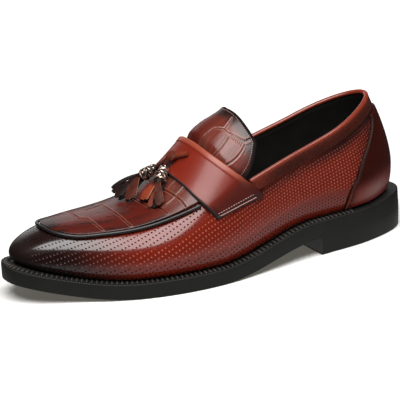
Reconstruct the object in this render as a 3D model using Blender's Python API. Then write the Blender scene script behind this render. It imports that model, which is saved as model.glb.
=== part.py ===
"""Left tassel loafer: an unlaced dress shoe with an embossed apron, a saddle strap and two tassels.

Frame: +X from heel to toe, +Y towards the outer side of the foot, +Z up, floor at Z = 0.
The origin is on the floor, under the middle of the shoe's box. Lengths are metres.

Every piece of the upper is read from one surface, the skin of the last. A place on it has two shares:
    along   0 at the back of the heel, 1 at the tip of the toe
    across  -1 at the outer feather edge, 0 on the ridge over the instep, 1 at the inner feather edge
and a lift, the distance off the skin along its normal.
"""

import math

import bmesh
import bpy
import numpy as np
from mathutils import Matrix, Vector

MM = 0.001
GAP = 0.3 * MM

# Last
LAST_LENGTH = 292 * MM
FEATHER_ANGLE = math.radians(25)
FEATHER_TUCK = 3.5 * MM
HEEL_ROUND = 55 * MM
TOE_ROUND = 92 * MM
TOE_BOX_ROUND = 34.5 * MM
TOE_POINT = 2.4
BACK_LEAN = 10.2 * MM
BACK_LEAN_HEIGHT = 42 * MM
BACK_LEAN_REACH = 0.42
BACK_LEAN_POWER = 1.6
TOE_TUCK_START = 0.75
WALL = 2.0 * MM

# One row for each section of the last. Lengths in millimetres: the centre line's offset to the outer
# side, the half widths at the widest line, that line's rise over the welt, and the ridge over the floor.
# Squareness is the exponent of the section's rounded shape, 2 for an ellipse.
SECTION_COLUMNS = ("along", "centre", "lateral", "medial", "bulge_rise", "ridge", "squareness")
SECTIONS = (
    (0.00, -5.0, 30.0, 32.5, 21.0, 127.0, 2.20),
    (0.13, -3.0, 32.3, 33.0, 21.0, 129.0, 2.20),
    (0.28, -0.8, 36.3, 31.0, 19.5, 129.0, 2.15),
    (0.40, 0.0, 43.5, 30.5, 17.0, 119.0, 2.10),
    (0.50, 0.0, 50.2, 36.0, 15.0, 98.5, 2.10),
    (0.60, -0.5, 53.7, 43.5, 13.5, 69.5, 2.20),
    (0.70, -2.5, 52.4, 48.0, 12.3, 53.2, 2.30),
    (0.82, -6.5, 44.5, 44.5, 10.8, 48.7, 2.40),
    (0.92, -9.8, 36.2, 37.5, 8.0, 47.5, 2.40),
    (1.00, -12.0, 33.5, 36.0, 5.0, 46.5, 2.40),
)

# Topline of the collar over the floor, in millimetres, up to where it turns in under the strap.
TOPLINE_COLUMNS = ("along", "height")
TOPLINE = (
    (0.00, 99.0),
    (0.10, 90.4),
    (0.22, 81.7),
    (0.34, 74.5),
    (0.45, 66.5),
)
TOPLINE_TURN = 0.45
THROAT = 0.548
THROAT_CORNER = 2.2

# Sole. The heel seat turns up in a lip at the back, and the welt stands out further there and at the toe.
WELT_THICK = 3.2 * MM
WELT_UNDERLAP = 2.4 * MM
WELT_MARGIN = 7.2 * MM
WELT_BEVEL = 0.5 * MM
FOREFOOT_THICK = 11.7 * MM
HEEL_SEAT_THICK = 13.0 * MM
HEEL_BLOCK = 12.5 * MM
TREAD_FLAT = (0.56, 0.74)
TOE_SPRING = 13.2 * MM
BREAST = 0.26
SHANK_END = 0.27
SOLE_EDGE_BEVEL = 0.9 * MM
HEEL_TAPER = 0.8 * MM
HEEL_LIP = 2.2 * MM
HEEL_LIP_REACH = 0.10
BACK_MARGIN = 1.3 * MM
BACK_MARGIN_REACH = 0.08
TOE_MARGIN = 2.4 * MM
TOE_MARGIN_REACH = 0.14
INSOLE_INSET = 2.8 * MM
INSOLE_RISE = 1.2 * MM

# Apron and its piping. The seam is the line that the piping follows: its share across at each place
# along, closed round the toe over the last stretch before the tip.
SEAM_COLUMNS = ("along", "across")
SEAM = (
    (0.56, 0.480),
    (0.60, 0.440),
    (0.66, 0.392),
    (0.73, 0.367),
    (0.80, 0.362),
    (0.92, 0.370),
)
SEAM_TIP = 0.920
SEAM_ROUND = 0.074
SEAM_POINT = 2.3
APRON_LIFT = 0.45 * MM
APRON_THICK = 1.6 * MM
APRON_INSET = 0.029
APRON_TIP_INSET = 0.0068
APRON_BACK = 0.570
PIPING_RADIUS = 1.3 * MM
PIPING_BACK = 0.5825

# Strap over the instep: its front and back edges at each share across, out to its lower end.
STRAP_COLUMNS = ("across", "front", "back")
STRAP = (
    (0.00, 0.599, 0.528),
    (0.14, 0.598, 0.525),
    (0.26, 0.594, 0.517),
    (0.39, 0.587, 0.499),
    (0.50, 0.573, 0.474),
    (0.62, 0.551, 0.434),
    (0.67, 0.540, 0.418),
)
STRAP_THICK = 1.6 * MM
STRAP_END_FRONT = 0.612
STRAP_END_BACK = 0.671
STRAP_EASE = (0.49, 0.585)

# Tongue, from its root under the apron to its top. It bulges behind the strap, and its top droops.
TONGUE_THICK = 2.6 * MM
TONGUE_ROOT = 0.590
TONGUE_TOP = 0.441
TONGUE_EARS = 0.0265
TONGUE_EAR_POWER = 1.4
TONGUE_HALF = 0.53
TONGUE_ROOT_HALF = 0.25
TONGUE_TOP_HALF = 0.42
TONGUE_WIDEST = 0.65
TONGUE_CORNER = 2.5
TONGUE_BURIED = 3.4 * MM
TONGUE_RISE = 0.9 * MM
TONGUE_RISE_START = 0.004
TONGUE_RISE_REACH = 0.040
TONGUE_DROOP = 4.9 * MM
TONGUE_DROOP_START = 0.52
TONGUE_BULGE = 0.4 * MM
TONGUE_BULGE_START = 0.42

# Collar binding and heel counter. The counter's front edge is a row for each share down from the collar.
COLLAR_DEPTH = 9.0 * MM
COLLAR_INSIDE = 5.0 * MM
COLLAR_THICK = 0.8 * MM
COLLAR_ROLL = 1.5 * MM
COLLAR_SHOULDER = 0.7
COLLAR_END = 0.448
COLLAR_CUT = 0.415
COLLAR_CLEAR = 0.8 * MM
COUNTER_COLUMNS = ("down", "along")
COUNTER = (
    (0.00, 0.036),
    (0.10, 0.052),
    (0.26, 0.100),
    (0.50, 0.151),
    (0.80, 0.170),
    (1.00, 0.177),
)
COUNTER_THICK = 1.2 * MM
COUNTER_FOOT = 0.985

# Tassels: a turned cap over a bundle of strips, two of them, hung from a knotted lace over the strap.
# A cap's place is its share along and across, 1 for the outer one and -1 for the inner one.
CAP_COLUMNS = ("from_top", "radius")
CAP = (
    (0.0, 1.9),
    (1.1, 3.2),
    (3.1, 3.7),
    (4.0, 3.4),
    (5.2, 4.0),
    (10.2, 4.5),
    (11.9, 4.6),
    (12.8, 4.1),
)
CAP_PLACES = {1: (0.591, -0.032), -1: (0.600, 0.036)}
CAP_LIFT = 8.0 * MM
CAP_TURN = math.radians(33)
PLUG_RADIUS = 3.6 * MM
PLUG_LENGTH = 4.0 * MM
PLUG_TAPER = 0.8
STRIP_THICK = 1.2 * MM
STRIP_ROOT_WIDTH = 4.0 * MM
STRIP_ROOT_DEPTH = 0.6
STRIP_LAYER = 0.5
STRIP_RISE = 0.06
# Tips of the strips: place along and across the last, height off it and width in millimetres.
STRIP_COLUMNS = ("along", "across", "lift", "roll_deg", "width")
OUTER_STRIPS = (
    (0.683, -0.085, 3.2, 4, 5.5),
    (0.679, -0.113, 5.2, -10, 6.8),
    (0.677, -0.205, 3.6, -8, 5.6),
    (0.658, -0.255, 5.0, -6, 6.2),
    (0.670, -0.235, 3.3, 4, 6.0),
)
INNER_STRIPS = (
    (0.700, -0.005, 3.2, 0, 6.0),
    (0.698, -0.028, 5.0, -8, 8.2),
    (0.710, 0.045, 3.4, -4, 6.5),
    (0.714, 0.065, 5.0, -24, 6.8),
    (0.710, 0.130, 6.8, -32, 7.6),
    (0.701, 0.198, 8.6, -28, 5.4),
)
LACE_WIDTH = 3.6 * MM
LACE_THICK = 2.0 * MM
LACE_SECTION = ((0.5, 0.0), (0.4, 0.5), (-0.4, 0.5), (-0.5, 0.0), (-0.4, -0.5), (0.4, -0.5))
CORD_LEAD = 2.0 * MM
KNOT_PLACE = 0.570
KNOT_ACROSS = -0.01
KNOT_LIFT = 7.0 * MM
KNOT_HALF = (4.4 * MM, 5.2 * MM, 2.5 * MM)
TAIL_PLACE = 0.548
TAIL_ACROSS = -0.115
TAIL_LIFT = 6.2 * MM
TAIL_LEAD = 0.7

# Mesh density
LAST_STATIONS = 38
LAST_ROWS = 9
THROAT_STEPS = 7
TIP_STEPS = 8
PANEL_COLUMNS = 6
APRON_STEPS = 14
PIPING_STEPS = 12
PIPING_SIDES = 7
STRAP_ROWS = 15
STRAP_CUTS = 5
TONGUE_ROWS = 14
COLLAR_STEPS = 18
COLLAR_CUT_STEPS = 5
COUNTER_ROWS = 9
COUNTER_CUTS = 9
CAP_SIDES = 14
STRIP_STEPS = 6
KNOT_DETAIL = 2
BOX_SAMPLES = 60
SHARP_ANGLE = math.radians(40)
MERGE = 0.02 * MM

# Small steps of station and share from which slopes, edge directions and girths are taken.
SLOPE_STEP = 0.002
EDGE_STEP = 0.004
GIRTH_STEP = 0.02
HALVINGS = 24


class Column:
    """One column of a table, as a natural cubic spline over the first column."""

    def __init__(self, rows, columns, name):
        table = np.array(rows, float)
        self.knots = table[:, 0]
        self.values = table[:, columns.index(name)]
        self.bend = self.bending()

    def bending(self):
        """Second derivatives at the knots, zero at both ends."""
        step = np.diff(self.knots)
        slope = np.diff(self.values) / step
        count = len(self.knots)
        system = np.eye(count)
        right = np.zeros(count)
        for i in range(1, count - 1):
            system[i, i - 1 : i + 2] = step[i - 1], 2 * (step[i - 1] + step[i]), step[i]
            right[i] = 6 * (slope[i] - slope[i - 1])
        return np.linalg.solve(system, right)

    def __call__(self, at):
        i = int(np.clip(np.searchsorted(self.knots, at) - 1, 0, len(self.knots) - 2))
        step = self.knots[i + 1] - self.knots[i]
        after = (at - self.knots[i]) / step
        before = 1 - after
        line = before * self.values[i] + after * self.values[i + 1]
        curve = (before**3 - before) * self.bend[i] + (after**3 - after) * self.bend[i + 1]
        return float(line + curve * step**2 / 6)


LAST = {name: Column(SECTIONS, SECTION_COLUMNS, name) for name in SECTION_COLUMNS[1:]}
TOPLINE_HEIGHT = Column(TOPLINE, TOPLINE_COLUMNS, "height")
SEAM_ACROSS = Column(SEAM, SEAM_COLUMNS, "across")
STRAP_FRONT = Column(STRAP, STRAP_COLUMNS, "front")
STRAP_BACK = Column(STRAP, STRAP_COLUMNS, "back")
COUNTER_FRONT = Column(COUNTER, COUNTER_COLUMNS, "along")


def smooth(low, high, value):
    """0 below low, 1 above high, and an even S between them."""
    share = min(1.0, max(0.0, (value - low) / (high - low)))
    return share * share * (3 - 2 * share)


def mix(first, second, share):
    return first + (second - first) * share


def end_round(distance, length, point=2.0):
    """Closes a width to zero over the last stretch before an end, as a rounded end does."""
    share = min(1.0, max(0.0, distance / length))
    return (1 - (1 - share) ** point) ** (1 / point)


# Stations crowd towards both ends, where the last turns round: u is even, along isn't.


def along_of(u):
    return (1 - math.cos(math.pi * u)) / 2


def station(along):
    return math.acos(1 - 2 * along) / math.pi


# Sole lines over the floor


def tread_height(along):
    """Underside of the sole: flat at the ball, arched at the waist and sprung at the toe."""
    ball, toe = TREAD_FLAT
    arch = HEEL_BLOCK * (1 - smooth(SHANK_END, ball, along))
    spring = max(0.0, (along - toe) / (1 - toe))
    return arch + TOE_SPRING * spring**2


def sole_thickness(along):
    lip = HEEL_LIP * (1 - smooth(0, HEEL_LIP_REACH, along))
    return mix(HEEL_SEAT_THICK, FOREFOOT_THICK, smooth(SHANK_END, TREAD_FLAT[0], along)) + lip


def welt_margin(along):
    """How far the welt stands out from the feather edge."""
    back = BACK_MARGIN * (1 - smooth(0, BACK_MARGIN_REACH, along))
    return WELT_MARGIN + back + TOE_MARGIN * smooth(1 - TOE_MARGIN_REACH, 1, along)


def welt_height(along):
    """Top of the welt, where the upper meets the sole."""
    return tread_height(along) + sole_thickness(along)


# Skin of the last


def levels(along):
    """Heights of a section's feather edge, widest line and ridge."""
    feather = welt_height(along) + GAP
    widest = feather + LAST["bulge_rise"](along) * MM
    top = LAST["ridge"](along) * MM - widest
    return feather, widest, widest + top * end_round((1 - along) * LAST_LENGTH, TOE_BOX_ROUND)


def half_width(along, side):
    """Half width at the widest line, rounded off at both ends. side is 1 outside and -1 inside."""
    width = LAST["lateral" if side > 0 else "medial"](along) * MM
    heel = end_round(along * LAST_LENGTH, HEEL_ROUND)
    toe = end_round((1 - along) * LAST_LENGTH, TOE_ROUND, TOE_POINT)
    return width * heel * toe


def profile_angle(across):
    """Angle round a section: below zero under the widest line, a right angle on the ridge."""
    return (1 - abs(across)) * (math.pi / 2 + FEATHER_ANGLE) - FEATHER_ANGLE


def skin(u, across):
    """Point of the last's surface at an even station."""
    along = along_of(u)
    side = 1 if across <= 0 else -1
    feather, widest, ridge = levels(along)
    angle = profile_angle(across)
    power = 2 / LAST["squareness"](along)
    heel_end = 1 - smooth(0, BACK_LEAN_REACH, along)
    if angle >= 0:
        reach = max(0.0, math.cos(angle)) ** power
        height = mix(widest, ridge, math.sin(angle) ** power)
        over = max(0.0, height - widest) / BACK_LEAN_HEIGHT
        shift = BACK_LEAN * over**BACK_LEAN_POWER * heel_end
    else:
        reach = math.cos(angle)
        height = mix(widest, feather, -math.sin(angle) / math.sin(FEATHER_ANGLE))
        tuck = (1 - reach) / (1 - math.cos(FEATHER_ANGLE))
        toe_end = smooth(TOE_TUCK_START, 1, along)
        shift = FEATHER_TUCK * tuck * (heel_end - toe_end)
    width = half_width(along, side) * reach
    return Vector((
        along * LAST_LENGTH + shift,
        LAST["centre"](along) * MM + side * width,
        height,
    ))


def skin_normal(u, across):
    """Outward normal of the skin, from the slopes along and across it."""
    if u >= 1:
        return Vector((1, 0, 0))
    inside = max(u, SLOPE_STEP)
    edge = max(SLOPE_STEP - 1, min(1 - SLOPE_STEP, across))
    forward = skin(min(1.0, inside + SLOPE_STEP), edge) - skin(inside - SLOPE_STEP, edge)
    over = skin(inside, edge + SLOPE_STEP) - skin(inside, edge - SLOPE_STEP)
    normal = over.cross(forward)
    if u <= 0:
        normal.y = 0
    return normal.normalized()


def lifted(u, across, lift):
    """Point at a distance off the skin."""
    return skin(u, across) + lift * skin_normal(u, across)


def across_at_height(u, height):
    """How far round a section, from the ridge, the skin passes a height over the floor."""
    along = along_of(u)
    feather, widest, ridge = levels(along)
    if height >= widest:
        share = min(1.0, (height - widest) / (ridge - widest))
        angle = math.asin(share ** (LAST["squareness"](along) / 2))
    else:
        share = min(1.0, (widest - height) / (widest - feather))
        angle = -math.asin(share * math.sin(FEATHER_ANGLE))
    return 1 - (angle + FEATHER_ANGLE) / (math.pi / 2 + FEATHER_ANGLE)


def topline(u):
    """Share across at which the upper ends: the collar edge, or the ridge in front of the throat."""
    along = along_of(u)
    if along >= THROAT:
        return 0.0
    if along <= TOPLINE_TURN:
        return across_at_height(u, TOPLINE_HEIGHT(along) * MM)
    turned = (along - TOPLINE_TURN) / (THROAT - TOPLINE_TURN)
    return TURN_ACROSS * (1 - turned**THROAT_CORNER) ** (1 / THROAT_CORNER)


TURN_ACROSS = across_at_height(station(TOPLINE_TURN), TOPLINE_HEIGHT(TOPLINE_TURN) * MM)


def throat_along(across):
    """Where the upper's edge turns across the instep, at a share across."""
    out = min(1.0, abs(across) / TURN_ACROSS)
    return mix(TOPLINE_TURN, THROAT, (1 - out**THROAT_CORNER) ** (1 / THROAT_CORNER))


def girth_rate(u, across):
    """Length of skin for each unit of share across, there."""
    return (skin(u, across + GIRTH_STEP) - skin(u, across)).length / GIRTH_STEP


def below_topline(u, depth):
    """Share across at a distance down the skin from the collar edge."""
    top = topline(u)
    return top + depth / girth_rate(u, top)


def outline(u, side, margin, height):
    """Point at a distance outside the feather edge, in plan. side is 1 outside and -1 inside."""
    edge = skin(u, -side)
    if u <= 0:
        normal = Vector((-1, 0, 0))
    elif u >= 1:
        normal = Vector((1, 0, 0))
    else:
        run = skin(min(1.0, u + EDGE_STEP), -side) - skin(max(0.0, u - EDGE_STEP), -side)
        normal = side * Vector((-run.y, run.x, 0)).normalized()
    return Vector((edge.x + margin * normal.x, edge.y + margin * normal.y, height))


def stations_between(first, last, count):
    """Even stations between two places along."""
    return [mix(station(first), station(last), i / count) for i in range(count + 1)]


# The origin lies under the middle of the welt's box.


def box_middle():
    stations = [i / BOX_SAMPLES for i in range(BOX_SAMPLES + 1)]
    edge = [outline(u, side, welt_margin(along_of(u)), 0) for u in stations for side in (-1, 1)]
    middle = []
    for axis in (0, 1):
        places = [point[axis] for point in edge]
        middle.append((min(places) + max(places)) / 2)
    return Vector((*middle, 0))


ORIGIN = box_middle()


# Meshes


def new_object(name, mesh_builder, material, parent):
    """Object from a bmesh, merged, turned outwards and shaded."""
    bmesh.ops.translate(mesh_builder, vec=-ORIGIN, verts=mesh_builder.verts)
    bmesh.ops.remove_doubles(mesh_builder, verts=mesh_builder.verts, dist=MERGE)
    bmesh.ops.dissolve_degenerate(mesh_builder, edges=mesh_builder.edges, dist=MERGE / 2)
    bmesh.ops.triangulate(mesh_builder, faces=mesh_builder.faces)
    bmesh.ops.recalc_face_normals(mesh_builder, faces=mesh_builder.faces)
    mesh = bpy.data.meshes.new(name)
    mesh_builder.to_mesh(mesh)
    mesh_builder.free()
    mesh.shade_smooth()
    mesh.set_sharp_from_angle(angle=SHARP_ANGLE)
    mesh.materials.append(material)
    made = bpy.data.objects.new(name, mesh)
    made.parent = parent
    bpy.context.scene.collection.objects.link(made)
    return made


def add_grid(builder, rows):
    """Faces over rows of points. Returns the vertices, row by row."""
    verts = [[builder.verts.new(point) for point in row] for row in rows]
    for row, above in zip(verts, verts[1:]):
        for i in range(len(row) - 1):
            builder.faces.new((row[i], row[i + 1], above[i + 1], above[i]))
    return verts


def add_strip(builder, first, second):
    """Faces between two equal runs of vertices."""
    for i in range(len(first) - 1):
        builder.faces.new((first[i], first[i + 1], second[i + 1], second[i]))


def border(verts):
    """The rim of a grid of vertices, in order and closed."""
    right = [row[-1] for row in verts]
    left = [row[0] for row in verts]
    return verts[0][:-1] + right[:-1] + verts[-1][:0:-1] + left[::-1]


def add_slab(builder, outer_rows, inner_rows):
    """Closed wall between two grids of the same shape."""
    outer = add_grid(builder, outer_rows)
    inner = add_grid(builder, inner_rows)
    add_strip(builder, border(outer), border(inner))


def add_sweep(builder, sections, closed=False):
    """Skin through closed sections. A closed sweep joins its last section to its first."""
    rings = [[builder.verts.new(point) for point in section] for section in sections]
    pairs = list(zip(rings, rings[1:]))
    if closed:
        pairs.append((rings[-1], rings[0]))
    for ring, following in pairs:
        add_strip(builder, ring + ring[:1], following + following[:1])
    if not closed:
        builder.faces.new(rings[0])
        builder.faces.new(rings[-1])


# Materials


def finish(name, colour, roughness, metallic=0.0):
    material = bpy.data.materials.new(name)
    material.use_nodes = True
    shader = material.node_tree.nodes["Principled BSDF"]
    shader.inputs["Base Color"].default_value = (*colour, 1)
    shader.inputs["Roughness"].default_value = roughness
    shader.inputs["Metallic"].default_value = metallic
    return material


# Sole


def sole_sections(stations, edges):
    """Closed sections across the sole. edges gives (margin, height) pairs down the side at a place along."""
    sections = []
    for u in stations:
        rows = edges(along_of(u))
        outer = [outline(u, 1, margin, height) for margin, height in rows]
        inner = [outline(u, -1, margin, height) for margin, height in rows[::-1]]
        sections.append(outer + inner)
    return sections


def outsole_edges(along):
    top = welt_height(along) - WELT_THICK - GAP
    bottom = tread_height(along)
    margin = welt_margin(along)
    return (
        (margin, top),
        (margin, bottom + SOLE_EDGE_BEVEL),
        (margin - SOLE_EDGE_BEVEL, bottom),
    )


def heel_edges(along):
    margin = welt_margin(along)
    return (
        (margin - GAP, HEEL_BLOCK - GAP),
        (margin - HEEL_TAPER, SOLE_EDGE_BEVEL),
        (margin - HEEL_TAPER - SOLE_EDGE_BEVEL, 0.0),
    )


def insole_edges(along):
    welt = welt_height(along)
    return ((-INSOLE_INSET, welt + INSOLE_RISE), (-INSOLE_INSET, welt - WELT_THICK))


def build_outsole(material, parent):
    builder = bmesh.new()
    add_sweep(builder, sole_sections(stations_between(0, 1, LAST_STATIONS), outsole_edges))
    return new_object("outsole", builder, material, parent)


def build_heel(material, parent):
    builder = bmesh.new()
    add_sweep(builder, sole_sections(stations_between(0, BREAST, LAST_STATIONS // 2), heel_edges))
    return new_object("heel", builder, material, parent)


def build_insole(material, parent):
    builder = bmesh.new()
    add_sweep(builder, sole_sections(stations_between(0, 1, LAST_STATIONS), insole_edges))
    return new_object("insole", builder, material, parent)


def build_welt(material, parent):
    """Ring under the upper's lower edge, standing out all round."""
    builder = bmesh.new()
    outer = [(1, u) for u in stations_between(0, 1, LAST_STATIONS)]
    inner = [(-1, u) for side, u in outer[-2:0:-1]]
    sections = []
    for side, u in outer + inner:
        top = welt_height(along_of(u))
        bottom = top - WELT_THICK
        margin = welt_margin(along_of(u))
        corners = (
            (-WELT_UNDERLAP, top),
            (margin - WELT_BEVEL, top),
            (margin, top - WELT_BEVEL),
            (margin, bottom),
            (-WELT_UNDERLAP, bottom),
        )
        sections.append([outline(u, side, out, height) for out, height in corners])
    add_sweep(builder, sections, closed=True)
    return new_object("welt", builder, material, parent)


# Upper


def upper_stations():
    """Even stations, with a closer run where the edge turns across the instep."""
    turns = [math.sin(math.pi / 2 * i / THROAT_STEPS) for i in range(THROAT_STEPS + 1)]
    throat = [station(mix(TOPLINE_TURN, THROAT, turn)) for turn in turns]
    even = [u for u in stations_between(0, 1, LAST_STATIONS) if not throat[0] <= u <= throat[-1]]
    return sorted(even + throat), throat[-1]


def build_upper(material, parent):
    """One hollow wall, open at the collar and along its lower edge."""
    builder = bmesh.new()
    stations, throat = upper_stations()
    rim = slice(0, stations.index(throat) + 1)
    for side in (-1, 1):
        shells = []
        for lift in (0.0, -WALL):
            rows = []
            for u in stations:
                top = topline(u)
                shares = [mix(1, top, j / LAST_ROWS) for j in range(LAST_ROWS + 1)]
                rows.append([lifted(u, side * share, lift) for share in shares])
            shells.append(add_grid(builder, rows))
        outer, inner = shells
        add_strip(builder, [row[0] for row in outer], [row[0] for row in inner])
        add_strip(builder, [row[-1] for row in outer[rim]], [row[-1] for row in inner[rim]])
    return new_object("upper", builder, material, parent)


# Apron and piping


def seam_line(tip, inset, back, steps):
    """Places (station, share across) down one side of the seam, from its back end to its tip."""
    start = tip - SEAM_ROUND
    sides = [mix(back, start, i / steps) for i in range(steps)]
    line = [(station(along), SEAM_ACROSS(along) - inset) for along in sides]
    for i in range(TIP_STEPS + 1):
        turn = math.pi / 2 * i / TIP_STEPS
        along = start + SEAM_ROUND * math.sin(turn) ** (2 / SEAM_POINT)
        out = max(0.0, math.cos(turn)) ** (2 / SEAM_POINT)
        line.append((station(along), (SEAM_ACROSS(along) - inset) * out))
    return line


def build_apron(material, parent):
    """Raised panel over the vamp, inside the seam, running back under the strap."""
    builder = bmesh.new()
    columns = [i / PANEL_COLUMNS for i in range(-PANEL_COLUMNS, PANEL_COLUMNS + 1)]
    line = seam_line(SEAM_TIP - APRON_TIP_INSET, APRON_INSET, APRON_BACK, APRON_STEPS)
    grids = []
    for lift in (APRON_LIFT + APRON_THICK, APRON_LIFT):
        grids.append([[lifted(u, column * edge, lift) for column in columns] for u, edge in line])
    add_slab(builder, *grids)
    return new_object("apron", builder, material, parent)


def tube_sections(points, normals, radius, sides):
    """Round sections at points along a path, turned to the normals given."""
    sections = []
    for i, (point, normal) in enumerate(zip(points, normals)):
        run = (points[min(i + 1, len(points) - 1)] - points[max(i - 1, 0)]).normalized()
        across = run.cross(normal).normalized()
        up = across.cross(run)
        angles = [2 * math.pi * j / sides for j in range(sides)]
        sections.append([point + radius * (math.cos(a) * across + math.sin(a) * up) for a in angles])
    return sections


def build_piping(material, parent):
    """Cord along the apron's seam, from the strap round the toe and back to the strap."""
    builder = bmesh.new()
    half = seam_line(SEAM_TIP, 0.0, PIPING_BACK, PIPING_STEPS)
    line = [(u, -edge) for u, edge in half] + [(u, edge) for u, edge in half[-2::-1]]
    points = [lifted(u, across, PIPING_RADIUS + GAP) for u, across in line]
    normals = [skin_normal(u, across) for u, across in line]
    add_sweep(builder, tube_sections(points, normals, PIPING_RADIUS, PIPING_SIDES))
    return new_object("piping", builder, material, parent)


# Strap and tongue


def strap_lift(across):
    """Underside of the strap: over the apron in the middle, down on the upper at the sides."""
    ease = smooth(*STRAP_EASE, abs(across))
    return mix(APRON_LIFT + APRON_THICK + GAP, GAP, ease)


def build_strap(material, parent):
    builder = bmesh.new()
    grids = []
    for thick in (STRAP_THICK, 0.0):
        rows = []
        for i in range(-STRAP_ROWS, STRAP_ROWS + 1):
            row = []
            for j in range(STRAP_CUTS + 1):
                back = j / STRAP_CUTS
                across = i / STRAP_ROWS * mix(STRAP_END_FRONT, STRAP_END_BACK, back)
                along = mix(STRAP_FRONT(abs(across)), STRAP_BACK(abs(across)), back)
                row.append(lifted(station(along), across, strap_lift(across) + thick))
            rows.append(row)
        grids.append(rows)
    add_slab(builder, *grids)
    return new_object("strap", builder, material, parent)


def tongue_half(share):
    """Half width of the tongue across, from its root at 0 to its top at 1."""
    wide = mix(TONGUE_ROOT_HALF, TONGUE_HALF, smooth(0.0, TONGUE_WIDEST, share))
    past = max(0.0, (share - TONGUE_WIDEST) / (1 - TONGUE_WIDEST))
    return mix(wide, TONGUE_TOP_HALF, past**TONGUE_CORNER)


def tongue_top(column):
    """Top edge of the tongue, further back at its sides than on the ridge."""
    return TONGUE_TOP - TONGUE_EARS * abs(column) ** TONGUE_EAR_POWER


def tongue_lift(along, across, share, column):
    """Top face of the tongue: under the upper at its root, up through the throat behind it."""
    behind = throat_along(across) - along
    risen = smooth(TONGUE_RISE_START, TONGUE_RISE_REACH, behind)
    past = max(0.0, (share - TONGUE_BULGE_START) / (1 - TONGUE_BULGE_START))
    bulge = TONGUE_BULGE * math.sin(math.pi * past)
    droop = TONGUE_DROOP * smooth(TONGUE_DROOP_START, 1.0, share)
    return mix(-TONGUE_BURIED, TONGUE_RISE, risen) + (bulge - droop) * (1 - column**2)


def build_tongue(material, parent):
    builder = bmesh.new()
    columns = [i / PANEL_COLUMNS for i in range(-PANEL_COLUMNS, PANEL_COLUMNS + 1)]
    grids = []
    for under in (0.0, TONGUE_THICK):
        rows = []
        for i in range(TONGUE_ROWS + 1):
            share = i / TONGUE_ROWS
            half = tongue_half(share)
            row = []
            for column in columns:
                along = mix(TONGUE_ROOT, tongue_top(column), share)
                across = column * half
                lift = tongue_lift(along, across, share, column) - under
                row.append(lifted(station(along), across, lift))
            rows.append(row)
        grids.append(rows)
    add_slab(builder, *grids)
    return new_object("tongue", builder, material, parent)


# Collar and counter


def strap_end_across(along):
    """Share across at which the strap's back edge passes a place along."""
    low, high = 0.0, STRAP_END_BACK
    for halving in range(HALVINGS):
        middle = (low + high) / 2
        if STRAP_BACK(middle) > along:
            low = middle
        else:
            high = middle
    return low


def collar_depth(u):
    """Outer leg of the binding, cut short where it meets the strap's slanted end."""
    if along_of(u) < STRAP_BACK(STRAP_END_BACK):
        return COLLAR_DEPTH
    top = topline(u)
    room = (strap_end_across(along_of(u)) - top) * girth_rate(u, top)
    return min(COLLAR_DEPTH, room - COLLAR_CLEAR)


def collar_section(u, side):
    """Channel over the upper's edge: outer leg, rolled top, inner leg."""
    depth = collar_depth(u)
    out = GAP + COLLAR_THICK
    inside = -WALL - GAP
    corners = (
        (depth, GAP),
        (depth, out),
        (0.0, out + GAP),
        (-COLLAR_ROLL * COLLAR_SHOULDER, out),
        (-COLLAR_ROLL, -WALL / 2),
        (-COLLAR_ROLL * COLLAR_SHOULDER, inside - COLLAR_THICK),
        (COLLAR_INSIDE, inside - COLLAR_THICK),
        (COLLAR_INSIDE, inside),
        (-GAP, inside),
        (-GAP, GAP),
    )
    return [lifted(u, side * below_topline(u, down), lift) for down, lift in corners]


def build_collar(material, parent):
    builder = bmesh.new()
    stations = stations_between(0, COLLAR_CUT, COLLAR_STEPS)
    stations += stations_between(COLLAR_CUT, COLLAR_END, COLLAR_CUT_STEPS)[1:]
    run = [(-1, u) for u in stations[::-1]] + [(1, u) for u in stations[1:]]
    add_sweep(builder, [collar_section(u, side) for side, u in run])
    return new_object("collar", builder, material, parent)


def build_counter(material, parent):
    """Panel round the heel, from the collar's lower edge to the welt."""
    builder = bmesh.new()
    columns = [i / COUNTER_CUTS for i in range(-COUNTER_CUTS, COUNTER_CUTS + 1)]
    grids = []
    for lift in (GAP + COUNTER_THICK, GAP):
        rows = []
        for i in range(COUNTER_ROWS + 1):
            down = i / COUNTER_ROWS
            end = station(COUNTER_FRONT(down))
            row = []
            for column in columns:
                u = abs(column) * end
                side = 1 if column > 0 else -1
                across = mix(below_topline(u, COLLAR_DEPTH + 2 * GAP), COUNTER_FOOT, down)
                row.append(lifted(u, side * across, lift))
            rows.append(row)
        grids.append(rows)
    add_slab(builder, *grids)
    return new_object("heel_counter", builder, material, parent)


# Tassels


def surface_frame(along, across, lift):
    """Point off the skin, with the directions forward, outward across and up there."""
    u = station(along)
    forward = (skin(u + EDGE_STEP, across) - skin(u - EDGE_STEP, across)).normalized()
    up = skin_normal(u, across)
    return lifted(u, across, lift), forward, up.cross(forward).normalized(), up


def cap_axis(side):
    """Top of a cap and its directions: down its axis, sideways and up. side is 1 outside, -1 inside."""
    top, forward, sideways, up = surface_frame(*CAP_PLACES[side], CAP_LIFT)
    axis = (math.cos(CAP_TURN) * forward + side * math.sin(CAP_TURN) * sideways).normalized()
    return top, axis, up.cross(axis).normalized(), up


def turned_sections(top, axis, sideways, up, profile):
    sections = []
    for distance, radius in profile:
        angles = [2 * math.pi * i / CAP_SIDES for i in range(CAP_SIDES)]
        centre = top + distance * axis
        sections.append([centre + radius * (math.cos(a) * sideways + math.sin(a) * up) for a in angles])
    return sections


def build_cap(name, side, material, parent):
    builder = bmesh.new()
    rows = [dict(zip(CAP_COLUMNS, row)) for row in CAP]
    profile = [(row["from_top"] * MM, row["radius"] * MM) for row in rows]
    add_sweep(builder, turned_sections(*cap_axis(side), profile))
    return new_object(name, builder, material, parent)


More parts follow.
